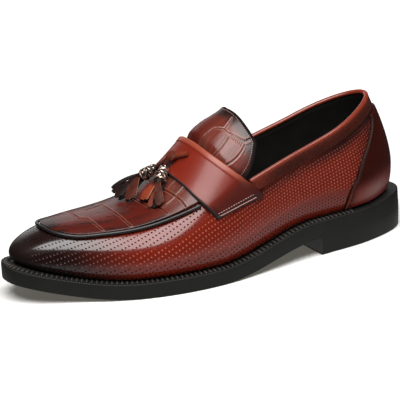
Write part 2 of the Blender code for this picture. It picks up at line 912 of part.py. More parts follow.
def strip_sections(start, row):
    """Flat bent strip from a cap's mouth to its tip over the apron."""
    strip = dict(zip(STRIP_COLUMNS, row))
    tip, forward, sideways, up = surface_frame(strip["along"], strip["across"], strip["lift"] * MM)
    reach = (tip - start).length
    rise = up * reach * STRIP_RISE
    thick = STRIP_THICK / 2
    sections = []
    for i in range(STRIP_STEPS + 1):
        share = i / STRIP_STEPS
        point = start.lerp(tip, share) + rise * (4 * share * (1 - share))
        run = ((tip - start) + rise * 4 * (1 - 2 * share)).normalized()
        turned = Matrix.Rotation(math.radians(strip["roll_deg"]) * share, 3, run)
        flat = turned @ up.cross(run).normalized()
        over = run.cross(flat)
        half = mix(STRIP_ROOT_WIDTH, strip["width"] * MM, share) / 2
        sections.append([
            point + half * flat + thick * over,
            point - half * flat + thick * over,
            point - half * flat - thick * over,
            point + half * flat - thick * over,
        ])
    return sections


def fuse(body, pieces):
    """Union of a body with others, which stay as hidden operands."""
    for piece in pieces:
        piece.hide_render = True
        piece.display_type = "WIRE"
        joint = body.modifiers.new("join_" + piece.name, "BOOLEAN")
        joint.operation = "UNION"
        joint.solver = "EXACT"
        joint.object = piece


def build_fringe(name, side, strips, material, parent):
    """Bundle of strips fused to a plug under the cap's mouth."""
    top, axis, sideways, up = cap_axis(side)
    mouth = CAP[-1][0] * MM + GAP
    builder = bmesh.new()
    profile = [(mouth, PLUG_RADIUS), (mouth + PLUG_LENGTH, PLUG_RADIUS * PLUG_TAPER)]
    add_sweep(builder, turned_sections(top, axis, sideways, up, profile))
    body = new_object(name, builder, material, parent)
    pieces = []
    for i, row in enumerate(strips):
        spread = (i / (len(strips) - 1) - 0.5) * side * PLUG_RADIUS
        layer = (STRIP_LAYER if i % 2 else -STRIP_LAYER) * PLUG_RADIUS
        start = top + (mouth + PLUG_LENGTH * STRIP_ROOT_DEPTH) * axis + spread * sideways + layer * up
        builder = bmesh.new()
        add_sweep(builder, strip_sections(start, row))
        pieces.append(new_object(f"{name}_strip_{i + 1}", builder, material, parent))
    fuse(body, pieces)
    return body


def ribbon_sections(points, normals, width, thick):
    """Flat rounded sections of a lace along a path."""
    sections = []
    for i, (point, normal) in enumerate(zip(points, normals)):
        run = (points[min(i + 1, len(points) - 1)] - points[max(i - 1, 0)]).normalized()
        across = run.cross(normal).normalized()
        up = across.cross(run)
        sections.append([point + width * x * across + thick * y * up for x, y in LACE_SECTION])
    return sections


def build_lace(material, parent):
    """Knot over the strap with a cord to each cap and one loose tail."""
    centre, forward, sideways, up = surface_frame(KNOT_PLACE, KNOT_ACROSS, KNOT_LIFT)
    builder = bmesh.new()
    bmesh.ops.create_icosphere(builder, subdivisions=KNOT_DETAIL, radius=1.0)
    turn = Matrix((forward * KNOT_HALF[0], sideways * KNOT_HALF[1], up * KNOT_HALF[2])).transposed()
    for vert in builder.verts:
        vert.co = centre + turn @ vert.co
    body = new_object("tassel_lace", builder, material, parent)
    ends = []
    for side, name in ((1, "cord_outer"), (-1, "cord_inner")):
        top, axis, cap_side, cap_up = cap_axis(side)
        ends.append((name, top - GAP * axis, top - CORD_LEAD * axis, cap_up))
    tail, tail_forward, tail_side, tail_up = surface_frame(TAIL_PLACE, TAIL_ACROSS, TAIL_LIFT)
    ends.append(("tail", tail, centre.lerp(tail, TAIL_LEAD), tail_up))
    pieces = []
    for name, end, lead, end_up in ends:
        points = [centre, centre.lerp(lead, 0.5), lead, end]
        normals = [up, up.lerp(end_up, 0.5), end_up, end_up]
        builder = bmesh.new()
        add_sweep(builder, ribbon_sections(points, normals, LACE_WIDTH, LACE_THICK))
        pieces.append(new_object("tassel_lace_" + name, builder, material, parent))
    fuse(body, pieces)
    return body


def build_all():
    for old in list(bpy.data.objects):
        bpy.data.objects.remove(old)
    shoe = bpy.data.objects.new("shoe", None)
    bpy.context.scene.collection.objects.link(shoe)
    burnished = finish("burnished_leather", (0.20, 0.03, 0.015), 0.3)
    embossed = finish("embossed_leather", (0.16, 0.025, 0.013), 0.28)
    edging = finish("piping_leather", (0.012, 0.010, 0.010), 0.3)
    collar = finish("collar_leather", (0.24, 0.045, 0.02), 0.35)
    rubber = finish("sole_rubber", (0.022, 0.022, 0.022), 0.5)
    lining = finish("insole_leather", (0.012, 0.011, 0.010), 0.6)
    bronze = finish("antique_bronze", (0.35, 0.22, 0.14), 0.35, 1.0)
    tassel = finish("tassel_leather", (0.28, 0.06, 0.025), 0.4)
    build_outsole(rubber, shoe)
    build_heel(rubber, shoe)
    build_welt(rubber, shoe)
    build_insole(lining, shoe)
    build_upper(burnished, shoe)
    build_tongue(embossed, shoe)
    build_apron(embossed, shoe)
    build_piping(edging, shoe)
    build_strap(burnished, shoe)
    build_collar(collar, shoe)
    build_counter(burnished, shoe)
    build_lace(tassel, shoe)
    for name, side, strips in (("outer", 1, OUTER_STRIPS), ("inner", -1, INNER_STRIPS)):
        build_cap("tassel_cap_" + name, side, bronze, shoe)
        build_fringe("tassel_fringe_" + name, side, strips, tassel, shoe)


if __name__ == "__main__":
    build_all()
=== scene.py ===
"""Dresses the left tassel loafer: burnished and embossed leather, tassels, stitching and a rubber sole.

Frame: +X from heel to toe, +Y towards the outer side of the foot, +Z up, floor at Z = 0, in metres.
The upper's pieces are read from the skin of the last, as the solids are. A place on it has two shares:
    along   0 at the back of the heel, 1 at the tip of the toe
    across  -1 at the outer feather edge, 0 on the ridge over the instep, 1 at the inner feather edge
and a lift, the distance off the skin along its normal.
"""

import math

import bmesh
import bpy
import numpy as np
from mathutils import Matrix, Vector


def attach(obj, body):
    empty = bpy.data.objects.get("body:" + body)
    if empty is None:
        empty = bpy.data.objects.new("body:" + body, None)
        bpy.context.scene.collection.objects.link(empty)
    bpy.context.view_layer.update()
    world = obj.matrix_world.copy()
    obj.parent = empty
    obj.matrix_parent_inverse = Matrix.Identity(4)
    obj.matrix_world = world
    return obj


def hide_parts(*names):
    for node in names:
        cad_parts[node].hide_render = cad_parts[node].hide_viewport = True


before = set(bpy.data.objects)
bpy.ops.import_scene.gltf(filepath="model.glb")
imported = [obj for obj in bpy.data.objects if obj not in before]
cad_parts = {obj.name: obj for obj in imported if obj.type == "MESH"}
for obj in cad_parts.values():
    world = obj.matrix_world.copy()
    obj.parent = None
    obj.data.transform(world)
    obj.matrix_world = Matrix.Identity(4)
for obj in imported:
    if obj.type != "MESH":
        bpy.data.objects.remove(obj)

bl_info = {
    "name": "Tassel loafer",
    "version": (1, 0, 0),
    "blender": (4, 5, 0),
    "location": "View3D > Sidebar > Loafer",
    "description": "Builds the leather, tassels, stitching and sole of a tassel loafer round its solids",
    "category": "Object",
}

MM = 0.001
GAP = 0.3 * MM
BODY = "root"

# Last, as in the solids
LAST_LENGTH = 292 * MM
FEATHER_ANGLE = math.radians(25)
FEATHER_TUCK = 3.5 * MM
HEEL_ROUND = 55 * MM
TOE_ROUND = 92 * MM
TOE_BOX_ROUND = 34.5 * MM
TOE_POINT = 2.4
TOE_TUCK_START = 0.75
BACK_LEAN = 10.2 * MM
BACK_LEAN_HEIGHT = 42 * MM
BACK_LEAN_REACH = 0.42
BACK_LEAN_POWER = 1.6
WALL = 2.0 * MM
SECTION_COLUMNS = ("along", "centre", "lateral", "medial", "bulge_rise", "ridge", "squareness")
SECTIONS = (
    (0.00, -5.0, 30.0, 32.5, 21.0, 127.0, 2.20),
    (0.13, -3.0, 32.3, 33.0, 21.0, 129.0, 2.20),
    (0.28, -0.8, 36.3, 31.0, 19.5, 129.0, 2.15),
    (0.40, 0.0, 43.5, 30.5, 17.0, 119.0, 2.10),
    (0.50, 0.0, 50.2, 36.0, 15.0, 98.5, 2.10),
    (0.60, -0.5, 53.7, 43.5, 13.5, 69.5, 2.20),
    (0.70, -2.5, 52.4, 48.0, 12.3, 53.2, 2.30),
    (0.82, -6.5, 44.5, 44.5, 10.8, 48.7, 2.40),
    (0.92, -9.8, 36.2, 37.5, 8.0, 47.5, 2.40),
    (1.00, -12.0, 33.5, 36.0, 5.0, 46.5, 2.40),
)
TOPLINE_COLUMNS = ("along", "height")
TOPLINE = ((0.00, 99.0), (0.10, 90.4), (0.22, 81.7), (0.34, 74.5), (0.45, 66.5))
TOPLINE_TURN = 0.45
THROAT = 0.548
THROAT_CORNER = 2.2

# Sole lines
WELT_THICK = 3.2 * MM
WELT_UNDERLAP = 2.4 * MM
RIB_START = 0.16
WELT_MARGIN = 7.2 * MM
FOREFOOT_THICK = 11.7 * MM
HEEL_SEAT_THICK = 13.0 * MM
HEEL_BLOCK = 12.5 * MM
TREAD_FLAT = (0.56, 0.74)
TOE_SPRING = 13.2 * MM
BREAST = 0.26
SHANK_END = 0.27
HEEL_TAPER = 0.8 * MM
HEEL_LIP = 2.2 * MM
HEEL_LIP_REACH = 0.10
BACK_MARGIN = 1.3 * MM
BACK_MARGIN_REACH = 0.08
TOE_MARGIN = 2.4 * MM
TOE_MARGIN_REACH = 0.14
INSOLE_INSET = 2.8 * MM
INSOLE_RISE = 1.2 * MM

# Seam of the apron
SEAM_COLUMNS = ("along", "across")
SEAM = ((0.56, 0.480), (0.60, 0.440), (0.66, 0.392), (0.73, 0.367), (0.80, 0.362), (0.92, 0.370))
SEAM_TIP = 0.920
SEAM_ROUND = 0.074
SEAM_POINT = 2.3
APRON_LIFT = 0.45 * MM
APRON_THICK = 1.6 * MM
APRON_INSET = 0.029
APRON_TIP_INSET = 0.0068
APRON_BACK = 0.570
PIPING_BACK = 0.5825

# Strap over the instep
STRAP_COLUMNS = ("across", "front", "back")
STRAP = (
    (0.00, 0.599, 0.528),
    (0.14, 0.598, 0.525),
    (0.26, 0.594, 0.517),
    (0.39, 0.587, 0.499),
    (0.50, 0.573, 0.474),
    (0.62, 0.551, 0.434),
    (0.67, 0.540, 0.418),
)
STRAP_END_FRONT = 0.612
STRAP_END_BACK = 0.671
STRAP_EASE = (0.49, 0.585)
STRAP_HALF_LENGTH = 62 * MM
STRAP_GROOVE = 2.3 * MM
STRAP_CORD = 1.5 * MM
STRAP_STITCHES = 3.4 * MM

# Tongue
TONGUE_ROOT = 0.590
TONGUE_TOP = 0.441
TONGUE_EARS = 0.0265
TONGUE_EAR_POWER = 1.4
TONGUE_HALF = 0.53
TONGUE_ROOT_HALF = 0.25
TONGUE_TOP_HALF = 0.42
TONGUE_WIDEST = 0.65
TONGUE_CORNER = 2.5
TONGUE_BURIED = 3.4 * MM
TONGUE_RISE = 0.9 * MM
TONGUE_RISE_START = 0.004
TONGUE_RISE_REACH = 0.040
TONGUE_DROOP = 4.9 * MM
TONGUE_DROOP_START = 0.52
TONGUE_BULGE = 0.4 * MM
TONGUE_BULGE_START = 0.42

# Collar and counter
COLLAR_DEPTH = 9.0 * MM
COLLAR_END = 0.448
COLLAR_CLEAR = 0.8 * MM
COUNTER_COLUMNS = ("down", "along")
COUNTER = ((0.00, 0.036), (0.10, 0.052), (0.26, 0.100), (0.50, 0.151), (0.80, 0.170), (1.00, 0.177))
COUNTER_FOOT = 0.985
COUNTER_GROOVE = 2.2 * MM

# Tassels
CAP_PLACES = {1: (0.591, -0.032), -1: (0.600, 0.036)}
CAP_LIFT = 8.0 * MM
CAP_TURN = math.radians(33)
CAP_LENGTH = 12.8 * MM
# Profile of a cap: from its top and radius, in millimetres
CAP = ((0.0, 1.9), (1.1, 3.2), (3.1, 3.7), (4.0, 3.4), (5.2, 4.0), (10.2, 4.5), (11.9, 4.6), (12.8, 4.1))
PLUG_RADIUS = 3.6 * MM
PLUG_LENGTH = 4.0 * MM
# End of each strip: along, across, lift in millimetres, roll in degrees, width in millimetres, shade
# The shade is painted shade: strips at 0.95 are dark under-strips that stand for the shadow between the
# others.
OUTER_STRIPS = (
    (0.683, -0.085, 3.2, 4, 5.5, 0.95),
    (0.679, -0.113, 5.2, -10, 6.8, 0.05),
    (0.677, -0.205, 3.6, -8, 5.6, 0.45),
    (0.658, -0.255, 5.0, -6, 6.2, 0.66),
    (0.670, -0.235, 3.3, 4, 6.0, 0.95),
)
INNER_STRIPS = (
    (0.700, -0.005, 3.2, 0, 6.0, 0.95),
    (0.698, -0.028, 5.0, -8, 8.2, 0.66),
    (0.710, 0.045, 3.4, -4, 6.5, 0.95),
    (0.714, 0.065, 5.0, -24, 6.8, 0.90),
    (0.710, 0.130, 6.8, -32, 7.6, 0.95),
    (0.701, 0.198, 8.6, -28, 5.4, 0.95),
)
STRIP_RISE = 0.06
STRIP_ROOT_DEPTH = 0.6
KNOT_PLACE = 0.570
KNOT_ACROSS = -0.01
KNOT_LIFT = 7.0 * MM
KNOT_HALF = (4.4 * MM, 5.2 * MM, 2.5 * MM)
TAIL_PLACE = 0.548
TAIL_ACROSS = -0.115
TAIL_LIFT = 6.2 * MM

# Dimples pressed into the skirt and quarters. A step of the pattern is a move along the shoe and up its
# side, in millimetres: two steps on the quarters, and two on the skirt, where the leather is stretched.
QUARTER_STEPS = ((2.6, -0.64), (-2.6, -1.83))
SKIRT_STEPS = ((2.7, -1.32), (-2.0, -2.9))
STRETCH = (0.34, 0.62)

# Creases of the apron and tongue, each a run of points. Apron: along and across. Tongue: share up it and
# share of its half width, on the outer side; the inner side mirrors them. The last value of a row is the
# crease's depth as a share of the full depth.
APRON_CREASES = (
    (((0.834, 0.30), (0.829, 0.14), (0.829, -0.02), (0.817, -0.04), (0.816, -0.11), (0.812, -0.21),
      (0.808, -0.30)), 1.0),
    (((0.744, 0.30), (0.746, 0.22), (0.748, 0.09), (0.750, -0.04), (0.748, -0.15), (0.748, -0.23),
      (0.743, -0.31)), 1.0),
    (((0.690, 0.30), (0.688, 0.12), (0.684, -0.04), (0.680, -0.16), (0.672, -0.22)), 0.8),
    (((0.653, -0.254), (0.621, -0.258)), 0.9),
    (((0.629, -0.09), (0.625, -0.15), (0.615, -0.312), (0.613, -0.386)), 0.9),
    (((0.615, -0.245), (0.594, -0.242)), 0.9),
    (((0.616, -0.141), (0.592, -0.143)), 0.9),
    (((0.650, 0.24), (0.610, 0.245)), 0.8),
    (((0.630, 0.06), (0.624, 0.16), (0.614, 0.32)), 0.8),
    (((0.618, 0.12), (0.590, 0.12)), 0.8),
    (((0.665, -0.20), (0.655, -0.33)), 0.6),
    (((0.775, -0.10), (0.751, -0.11)), 0.5),
    (((0.790, 0.10), (0.752, 0.12)), 0.5),
)
TONGUE_CREASES = (
    (((0.400, -0.180), (0.447, -0.183), (0.682, -0.213)), 0.8),
    (((0.470, -0.555), (0.511, -0.549), (0.773, -0.499)), 1.0),
    (((0.560, -0.750), (0.614, -0.754), (0.888, -0.789)), 1.0),
    (((0.700, -0.230), (0.771, -0.338), (0.787, -0.429), (0.845, -0.569), (0.913, -0.769),
      (0.984, -0.880)), 1.0),
    (((0.778, -0.353), (0.946, -0.328)), 1.0),
)

# Meshes. Vertices closer than MERGE become one. An edge that turns further than a piece's angle is sharp.
MERGE = 0.004 * MM
EDGE_STEPS = (0.0, 0.1, 0.3, 0.6)
EDGE_SHARP = math.radians(35)
KNOT_SHARP = math.radians(40)
ROUND_SHARP = math.radians(50)

# Shades of the upper. Two values are the start and end of a fade, or a place or reach along and across.
# COLLAR_SHADE_DEPTHS are the depths at the heel's back and further forward.
# Burnish: TOE and HEEL shades. Painted shade: COLLAR, STRAP and FOOT shades, by the collar, strap ends and
# welt.
TOE_SHADE = (0.66, 0.95)
TOE_SHADE_DEPTH = 0.95
HEEL_SHADE = (0.02, 0.22)
HEEL_SHADE_DEPTH = 0.7
COLLAR_SHADE_REACH = 8 * MM
COLLAR_SHADE_END = (0.40, 0.46)
COLLAR_SHADE_DEPTHS = (0.85, 0.65)
COLLAR_SHADE_EASE = (0.15, 0.3)
STRAP_SHADE_PLACE = (0.425, 0.64)
STRAP_SHADE_REACH = (0.03, 0.045)
STRAP_SHADE_DEPTH = 0.8
FOOT_SHADE = (0.0, 5 * MM)
FOOT_SHADE_DEPTH = 0.6
TOE_MATT = (0.945, 0.985)
TOE_MATT_DEPTH = 0.8
# Where the side faces up or down its dimples are painted dark (painted shade), elsewhere pale (painted
# highlight).
LIT_FROM_ABOVE = (0.36, 0.52)
LIT_FROM_BELOW = (-0.12, 0.0)
UNDER_APRON = 0.06
SIDE_LINE = 0.72
CLOSED = 0.001
RIM_SHADE = 0.9
LINING_LIFTS = (-WALL / 2 - 0.02 * MM, -WALL)

# Fades of the dimples at the edges of their field. FAR stands for the distance where there is no edge.
FAR = 40 * MM
DIMPLES_BELOW_COLLAR = (9.6 * MM, 11 * MM)
DIMPLES_OVER_WELT = (1.2 * MM, 2.4 * MM)
DIMPLES_END = (0.955, 0.985)
DIMPLES_OFF_SEAM = (0.0, 2 * MM)

# Details of the apron and piping
VAMP_GIRTH = 105 * MM
APRON_EDGE = 0.012
APRON_CREASE_WIDTH = 0.46 * MM
APRON_EDGE_THICK = 0.35
CREASE_RIM = 0.4
APRON_TOE_SHADE = (0.86, 0.93)
APRON_TOE_DEPTH = 0.5
APRON_SIDE_SHADE = (0.80, 1.0)
APRON_SIDE_DEPTH = 0.25
# Painted highlight on the apron next to the strap.
APRON_SHEEN = (0.63, 0.69)
APRON_SHEEN_DEPTH = 0.2
PIPING_SPACING = 1.0 * MM

# Details of the strap
STRAP_END_EDGE = 0.006
STRAP_SIDE_EDGE = 0.04
STRAP_GROOVE_WIDTH = 0.4 * MM
STRAP_GROOVE_DEPTH = 0.3 * MM
STRAP_EDGE_THICK = 0.3
STRAP_FOLD = (0.84, 0.87)
STRAP_DARK_ENDS = (0.36, 0.62)
STRAP_DARK_DEPTH = 0.68
# Reach of the dark corners from the strap's end, and from its front edge as a share of its width
STRAP_CORNER = (14 * MM, 0.35)
STRAP_CORNER_DEPTH = 0.9
STRAP_FRONT_CUT = (0.03, 0.08)
STRAP_END_CUT = (0.4 * MM, 0.9 * MM)
GROOVE_DULL = 0.8
STRAP_DULL = 0.9
# Painted highlight along the folded back edge, away from the ends.
STRAP_SHEEN = (0.86, 0.93)
STRAP_SHEEN_ENDS = (6 * MM, 20 * MM)
STRAP_SHEEN_DEPTH = 0.36

# Details of the tongue. The ticks are short marks pressed in below one of its creases.
TICKED_CREASE = 3
TICK_COLUMNS = (-0.735, -0.525)
TICK_COUNT = 7
# How far below the crease a tick starts and ends
TICK_RUN = (0.01, 0.055)
TICK_DEPTH = 0.8
TONGUE_CREASE_WIDTH = 0.34 * MM
# Height and half width of the tongue's face
TONGUE_SPAN = (44 * MM, 32 * MM)
TONGUE_CREASE_SHARE = 0.8
TONGUE_SIDE_SHADE = (0.75, 1.0)
TONGUE_SIDE_DEPTH = 0.4
TONGUE_TOP_SHADE = (0.78, 1.0)
TONGUE_PALER = 0.15
# Painted highlight on the outer half of the tongue, away from its edges.
TONGUE_SHEEN_SIDES = (0.7, 1.0)
TONGUE_SHEEN_TOP = (0.85, 1.0)
TONGUE_SHEEN_OUTSIDE = (-0.4, 0.1)
TONGUE_SHEEN_DEPTH = 0.26
BINDING_START = 0.45
BINDING_SPACING = 0.8 * MM
BINDING_RADIUS = 0.62

# Details of the collar. Rows of its band: share of its depth, lift. Rows of its inner leg: depth, lift.
COLLAR_SPACING = 1.4 * MM
COLLAR_PALER = (0.36, 0.45)
COLLAR_PALER_DEPTH = 0.3
COLLAR_BAND = (
    (1.0, -0.12 * MM),
    (0.9, 0.02 * MM),
    (0.75, 0.16 * MM),
    (0.5, 0.30 * MM),
    (0.25, 0.40 * MM),
    (0.12, 0.44 * MM),
)
COLLAR_BAND_SHADES = (0.52, 0.74)
COLLAR_BAND_EASE = (0.0, 0.4)
COLLAR_BEAD_TURN = (-0.16 * math.pi, 1.25 * math.pi)
COLLAR_BEAD_RAISE = 0.1
COLLAR_BEAD_FULL = 0.2 * MM
COLLAR_BEAD_SHADE = 0.15
COLLAR_LEG = ((1.6 * MM, -WALL - 0.1 * MM), (-GAP, -WALL - 0.1 * MM), (-GAP, 0.02 * MM))

# Details of the heel counter
COUNTER_TOP_EDGE = 0.01
COUNTER_FRONT_EDGE = 0.012
COUNTER_HALF_LENGTH = 60 * MM
COUNTER_GROOVE_WIDTH = 0.5 * MM
COUNTER_GROOVE_DEPTH = 0.4 * MM
COUNTER_EDGE_THICK = 0.1
COUNTER_DARK_TOP = (0.45, 0.85)
COUNTER_CUT = (0.3 * MM, 0.9 * MM)
COUNTER_SHADE_REACH = 5 * MM
COUNTER_SHADE_START = (1.4 * MM, 2.0 * MM)
COUNTER_SHADE_DEPTH = 0.6
# Painted reflection of the floor low on the counter, and a faint painted sheen on the fold.
COUNTER_SHEEN_PLACE = (0.075, 0.80)
COUNTER_SHEEN_REACH = (0.05, 0.16)
COUNTER_SHEEN_DEPTH = 0.75
COUNTER_SHEEN_START = (2.4 * MM, 6 * MM)
COUNTER_FOLD = (1.6 * MM, 2.4 * MM)
COUNTER_FOLD_SHEEN = 0.1
COUNTER_SHADES = (0.25, 0.75)
COUNTER_UNDER = 0.02 * MM
COUNTER_DULL = (1.6 * MM, 3.0 * MM)

# Details of the sole. TREAD_RING marks the corners on the underside of a sole's section.
BREAST_EASE = 0.01
TREAD_EASE = 0.03
TREAD_RING = (0.0, 0.0, 0.0, 1.0, 1.0, 0.0, 0.0, 0.0)
RIB_SUNK = 0.08
INSOLE_EDGE = (
    (1.2 * MM, INSOLE_RISE),
    (0.3 * MM, INSOLE_RISE - 0.2 * MM),
    (0.0, INSOLE_RISE - 0.7 * MM),
    (0.0, -WELT_THICK),
)

# Details of the tassels and lace
SCROLL_TURNS = 6
SCROLL_WIND = 5
SCROLL_WAVES = 1.6
SCROLL_ROWS = 2.2
SCROLL_WEAVE = 0.6
SCROLL_DEPTH = 0.8
CAP_BANDS = (0.28, 0.93)
CAP_BAND_WIDTH = 0.05
CAP_TOP_RELIEF = 0.6
CAP_TOP_REACH = 0.12
STRIP_WIDENS = (0.0, 0.75)
STRIP_CHAMFER = (0.86, 1.0)
# Share of a strip's half width that is cut off at each corner of its tip
STRIP_CUTS = (1.1, 0.25)
# Section of a strip: shares of its half width and half thickness
STRIP_CORNERS = ((1, 0.6), (0.88, 1), (-0.88, 1), (-1, 0.6), (-1, -0.6), (-0.88, -1), (0.88, -1), (1, -0.6))
STRIP_EDGE_SHADE = 0.6
# Painted shade of each strip near its cap.
STRIP_ROOT_SHADE = 0.75
STRIP_ROOT_FADE = (0.05, 0.4)
# Profile of the plug in a cap's mouth: share of its length, share of its radius
PLUG = ((0, 1), (0.5, 0.95), (1, 0.7))
# Painted shade of the plug in the cap's mouth.
PLUG_SHADE = 0.9
KNOT_WRAPS = 0.09
KNOT_TWIST = 0.05
KNOT_SHADE = 0.6
LACE_LEAD = 2 * MM
LACE_SHADE = 0.7
TAIL_LEAD = 0.7
TAIL_SHADE = 0.35
# Section of the lace: shares of its width and thickness
LACE_SECTION = (
    (0.5, 0.0),
    (0.42, 0.42),
    (0.0, 0.5),
    (-0.42, 0.42),
    (-0.5, 0.0),
    (-0.42, -0.42),
    (0.0, -0.5),
    (0.42, -0.42),
)

# Stitch rows: where they start and end, and how far they stand from an edge
STRAP_STITCHED = (0.10, 0.95)
COUNTER_STITCHED = (0.05, 0.97)
COUNTER_STITCHES = (1.2 * MM, 2.7 * MM)
TONGUE_STITCHED = (0.5, 0.985)
TONGUE_STITCH_TOP = 0.93
TONGUE_STITCH_SIDE = 0.945
TONGUE_STITCH_LIFT = 0.1 * MM
# Pitch of the tongue's stitches, then their length, width and height
TONGUE_STITCH = (1.7 * MM, 1.1 * MM, 0.42 * MM, 0.42 * MM)

# Beads: stretched spheres of 1 m, which keep upright
UP = (0.0, 0.0, 1.0)
BEAD = {"Segments": 8, "Rings": 5, "Radius": 0.5}

# Grain of the finishes: scales of the textures and depths of their bumps. WAVE_SCALE gives bars 1 m apart.
COAT_IOR = 1.45
FINE_GRAIN = 1500
SLOW_GRAIN = 500
GRAIN_DEPTH = 0.03 * MM
STRIP_GRAIN_DEPTH = 0.04 * MM
# Scale along the shoe of the fine and the broad streaks, which draws them out
STREAK_STRETCH = (0.09, 0.2)
STREAK_DEPTH = 0.16 * MM
WRINKLE_DEPTH = 0.04 * MM
PORE_DEPTH = 0.05 * MM
SPECK_DEPTH = 0.04 * MM
TWIST_DEPTH = 0.05 * MM
MOULD_GRAIN_DEPTH = 0.025 * MM
TREAD_DEPTH = 0.6 * MM
WAVE_SCALE = math.pi / 10

# Stage
WHITE = (1.0, 1.0, 1.0)
BLACK = (0.0, 0.0, 0.0)
KEY_TONE = (1.0, 0.99, 0.98)
BACK_TARGET = (0.0, 0.0, 0.05)
BOUNCE_DROP = 0.2 * MM
SENSOR_WIDTH = 36
VIEW_END = 50


class Column:
    """One column of a table, as a natural cubic spline over the first column."""

    def __init__(self, rows, columns, name):
        table = np.array(rows, float)
        self.knots = table[:, 0]
        self.values = table[:, columns.index(name)]
        step = np.diff(self.knots)
        slope = np.diff(self.values) / step
        count = len(self.knots)
        system = np.eye(count)
        right = np.zeros(count)
        for i in range(1, count - 1):
            system[i, i - 1 : i + 2] = step[i - 1], 2 * (step[i - 1] + step[i]), step[i]
            right[i] = 6 * (slope[i] - slope[i - 1])
        self.bend = np.linalg.solve(system, right)

    def __call__(self, at):
        at = np.asarray(at, float)
        i = np.clip(np.searchsorted(self.knots, at) - 1, 0, len(self.knots) - 2)
        step = self.knots[i + 1] - self.knots[i]
        after = (at - self.knots[i]) / step
        before = 1 - after
        line = before * self.values[i] + after * self.values[i + 1]
        curve = (before**3 - before) * self.bend[i] + (after**3 - after) * self.bend[i + 1]
        return line + curve * step**2 / 6


LAST = {name: Column(SECTIONS, SECTION_COLUMNS, name) for name in SECTION_COLUMNS[1:]}
TOPLINE_HEIGHT = Column(TOPLINE, TOPLINE_COLUMNS, "height")
SEAM_ACROSS = Column(SEAM, SEAM_COLUMNS, "across")
STRAP_FRONT = Column(STRAP, STRAP_COLUMNS, "front")
STRAP_BACK = Column(STRAP, STRAP_COLUMNS, "back")
COUNTER_FRONT = Column(COUNTER, COUNTER_COLUMNS, "along")


def smooth(low, high, value):
    """0 below low, 1 above high, and an even S between them."""
    share = np.clip((np.asarray(value, float) - low) / (high - low), 0, 1)
    return share * share * (3 - 2 * share)


def mix(first, second, share):
    return first + (second - first) * share


def bell(offset, reach):
    """1 at no offset, falling away over a reach."""
    return np.exp(-((offset / reach) ** 2))


def end_round(distance, length, point=2.0):
    """Closes a width to zero over the last stretch before an end, as a rounded end does."""
    share = np.clip(distance / length, 0, 1)
    return (1 - (1 - share) ** point) ** (1 / point)


def along_of(u):
    """Place along at an even station. Stations crowd towards both ends, where the last turns round."""
    return (1 - np.cos(np.pi * u)) / 2


def station(along):
    return np.arccos(1 - 2 * np.asarray(along, float)) / np.pi


def tread_height(along):
    ball, toe = TREAD_FLAT
    arch = HEEL_BLOCK * (1 - smooth(SHANK_END, ball, along))
    spring = np.maximum(0.0, (along - toe) / (1 - toe))
    return arch + TOE_SPRING * spring**2


def sole_thickness(along):
    lip = HEEL_LIP * (1 - smooth(0, HEEL_LIP_REACH, along))
    return mix(HEEL_SEAT_THICK, FOREFOOT_THICK, smooth(SHANK_END, TREAD_FLAT[0], along)) + lip


def welt_margin(u):
    """How far the welt stands out from the feather edge, a little further at the heel's back and the toe."""
    along = along_of(u)
    back = BACK_MARGIN * (1 - smooth(0, BACK_MARGIN_REACH, along))
    return WELT_MARGIN + back + TOE_MARGIN * smooth(1 - TOE_MARGIN_REACH, 1, along)


def welt_height(along):
    return tread_height(along) + sole_thickness(along)


def levels(along):
    """Heights of a section's feather edge, widest line and ridge."""
    feather = welt_height(along) + GAP
    widest = feather + LAST["bulge_rise"](along) * MM
    top = LAST["ridge"](along) * MM - widest
    return feather, widest, widest + top * end_round((1 - along) * LAST_LENGTH, TOE_BOX_ROUND)


def half_width(along, side):
    width = np.where(side > 0, LAST["lateral"](along), LAST["medial"](along)) * MM
    heel = end_round(along * LAST_LENGTH, HEEL_ROUND)
    toe = end_round((1 - along) * LAST_LENGTH, TOE_ROUND, TOE_POINT)
    return width * heel * toe


def raw_skin(u, across):
    """Points of the last's surface before it is moved to the shoe's origin."""
    u, across = np.broadcast_arrays(np.asarray(u, float), np.asarray(across, float))
    along = along_of(u)
    side = np.where(across <= 0, 1.0, -1.0)
    feather, widest, ridge = levels(along)
    angle = (1 - np.abs(across)) * (math.pi / 2 + FEATHER_ANGLE) - FEATHER_ANGLE
    power = 2 / LAST["squareness"](along)
    heel_end = 1 - smooth(0, BACK_LEAN_REACH, along)
    toe_end = smooth(TOE_TUCK_START, 1, along)
    high = np.clip(angle, 0, math.pi / 2)
    low = np.minimum(angle, 0)
    tall = mix(widest, ridge, np.sin(high) ** power)
    lean = BACK_LEAN * (np.maximum(0.0, tall - widest) / BACK_LEAN_HEIGHT) ** BACK_LEAN_POWER * heel_end
    tuck = (1 - np.cos(low)) / (1 - math.cos(FEATHER_ANGLE))
    under = angle < 0
    reach = np.where(under, np.cos(low), np.maximum(0.0, np.cos(high)) ** power)
    height = np.where(under, mix(widest, feather, -np.sin(low) / math.sin(FEATHER_ANGLE)), tall)
    shift = np.where(under, FEATHER_TUCK * tuck * (heel_end - toe_end), lean)
    width = half_width(along, side) * reach
    return np.stack((along * LAST_LENGTH + shift, LAST["centre"](along) * MM + side * width, height), -1)


def unit(vectors):
    return vectors / np.maximum(np.linalg.norm(vectors, axis=-1, keepdims=True), 1e-12)


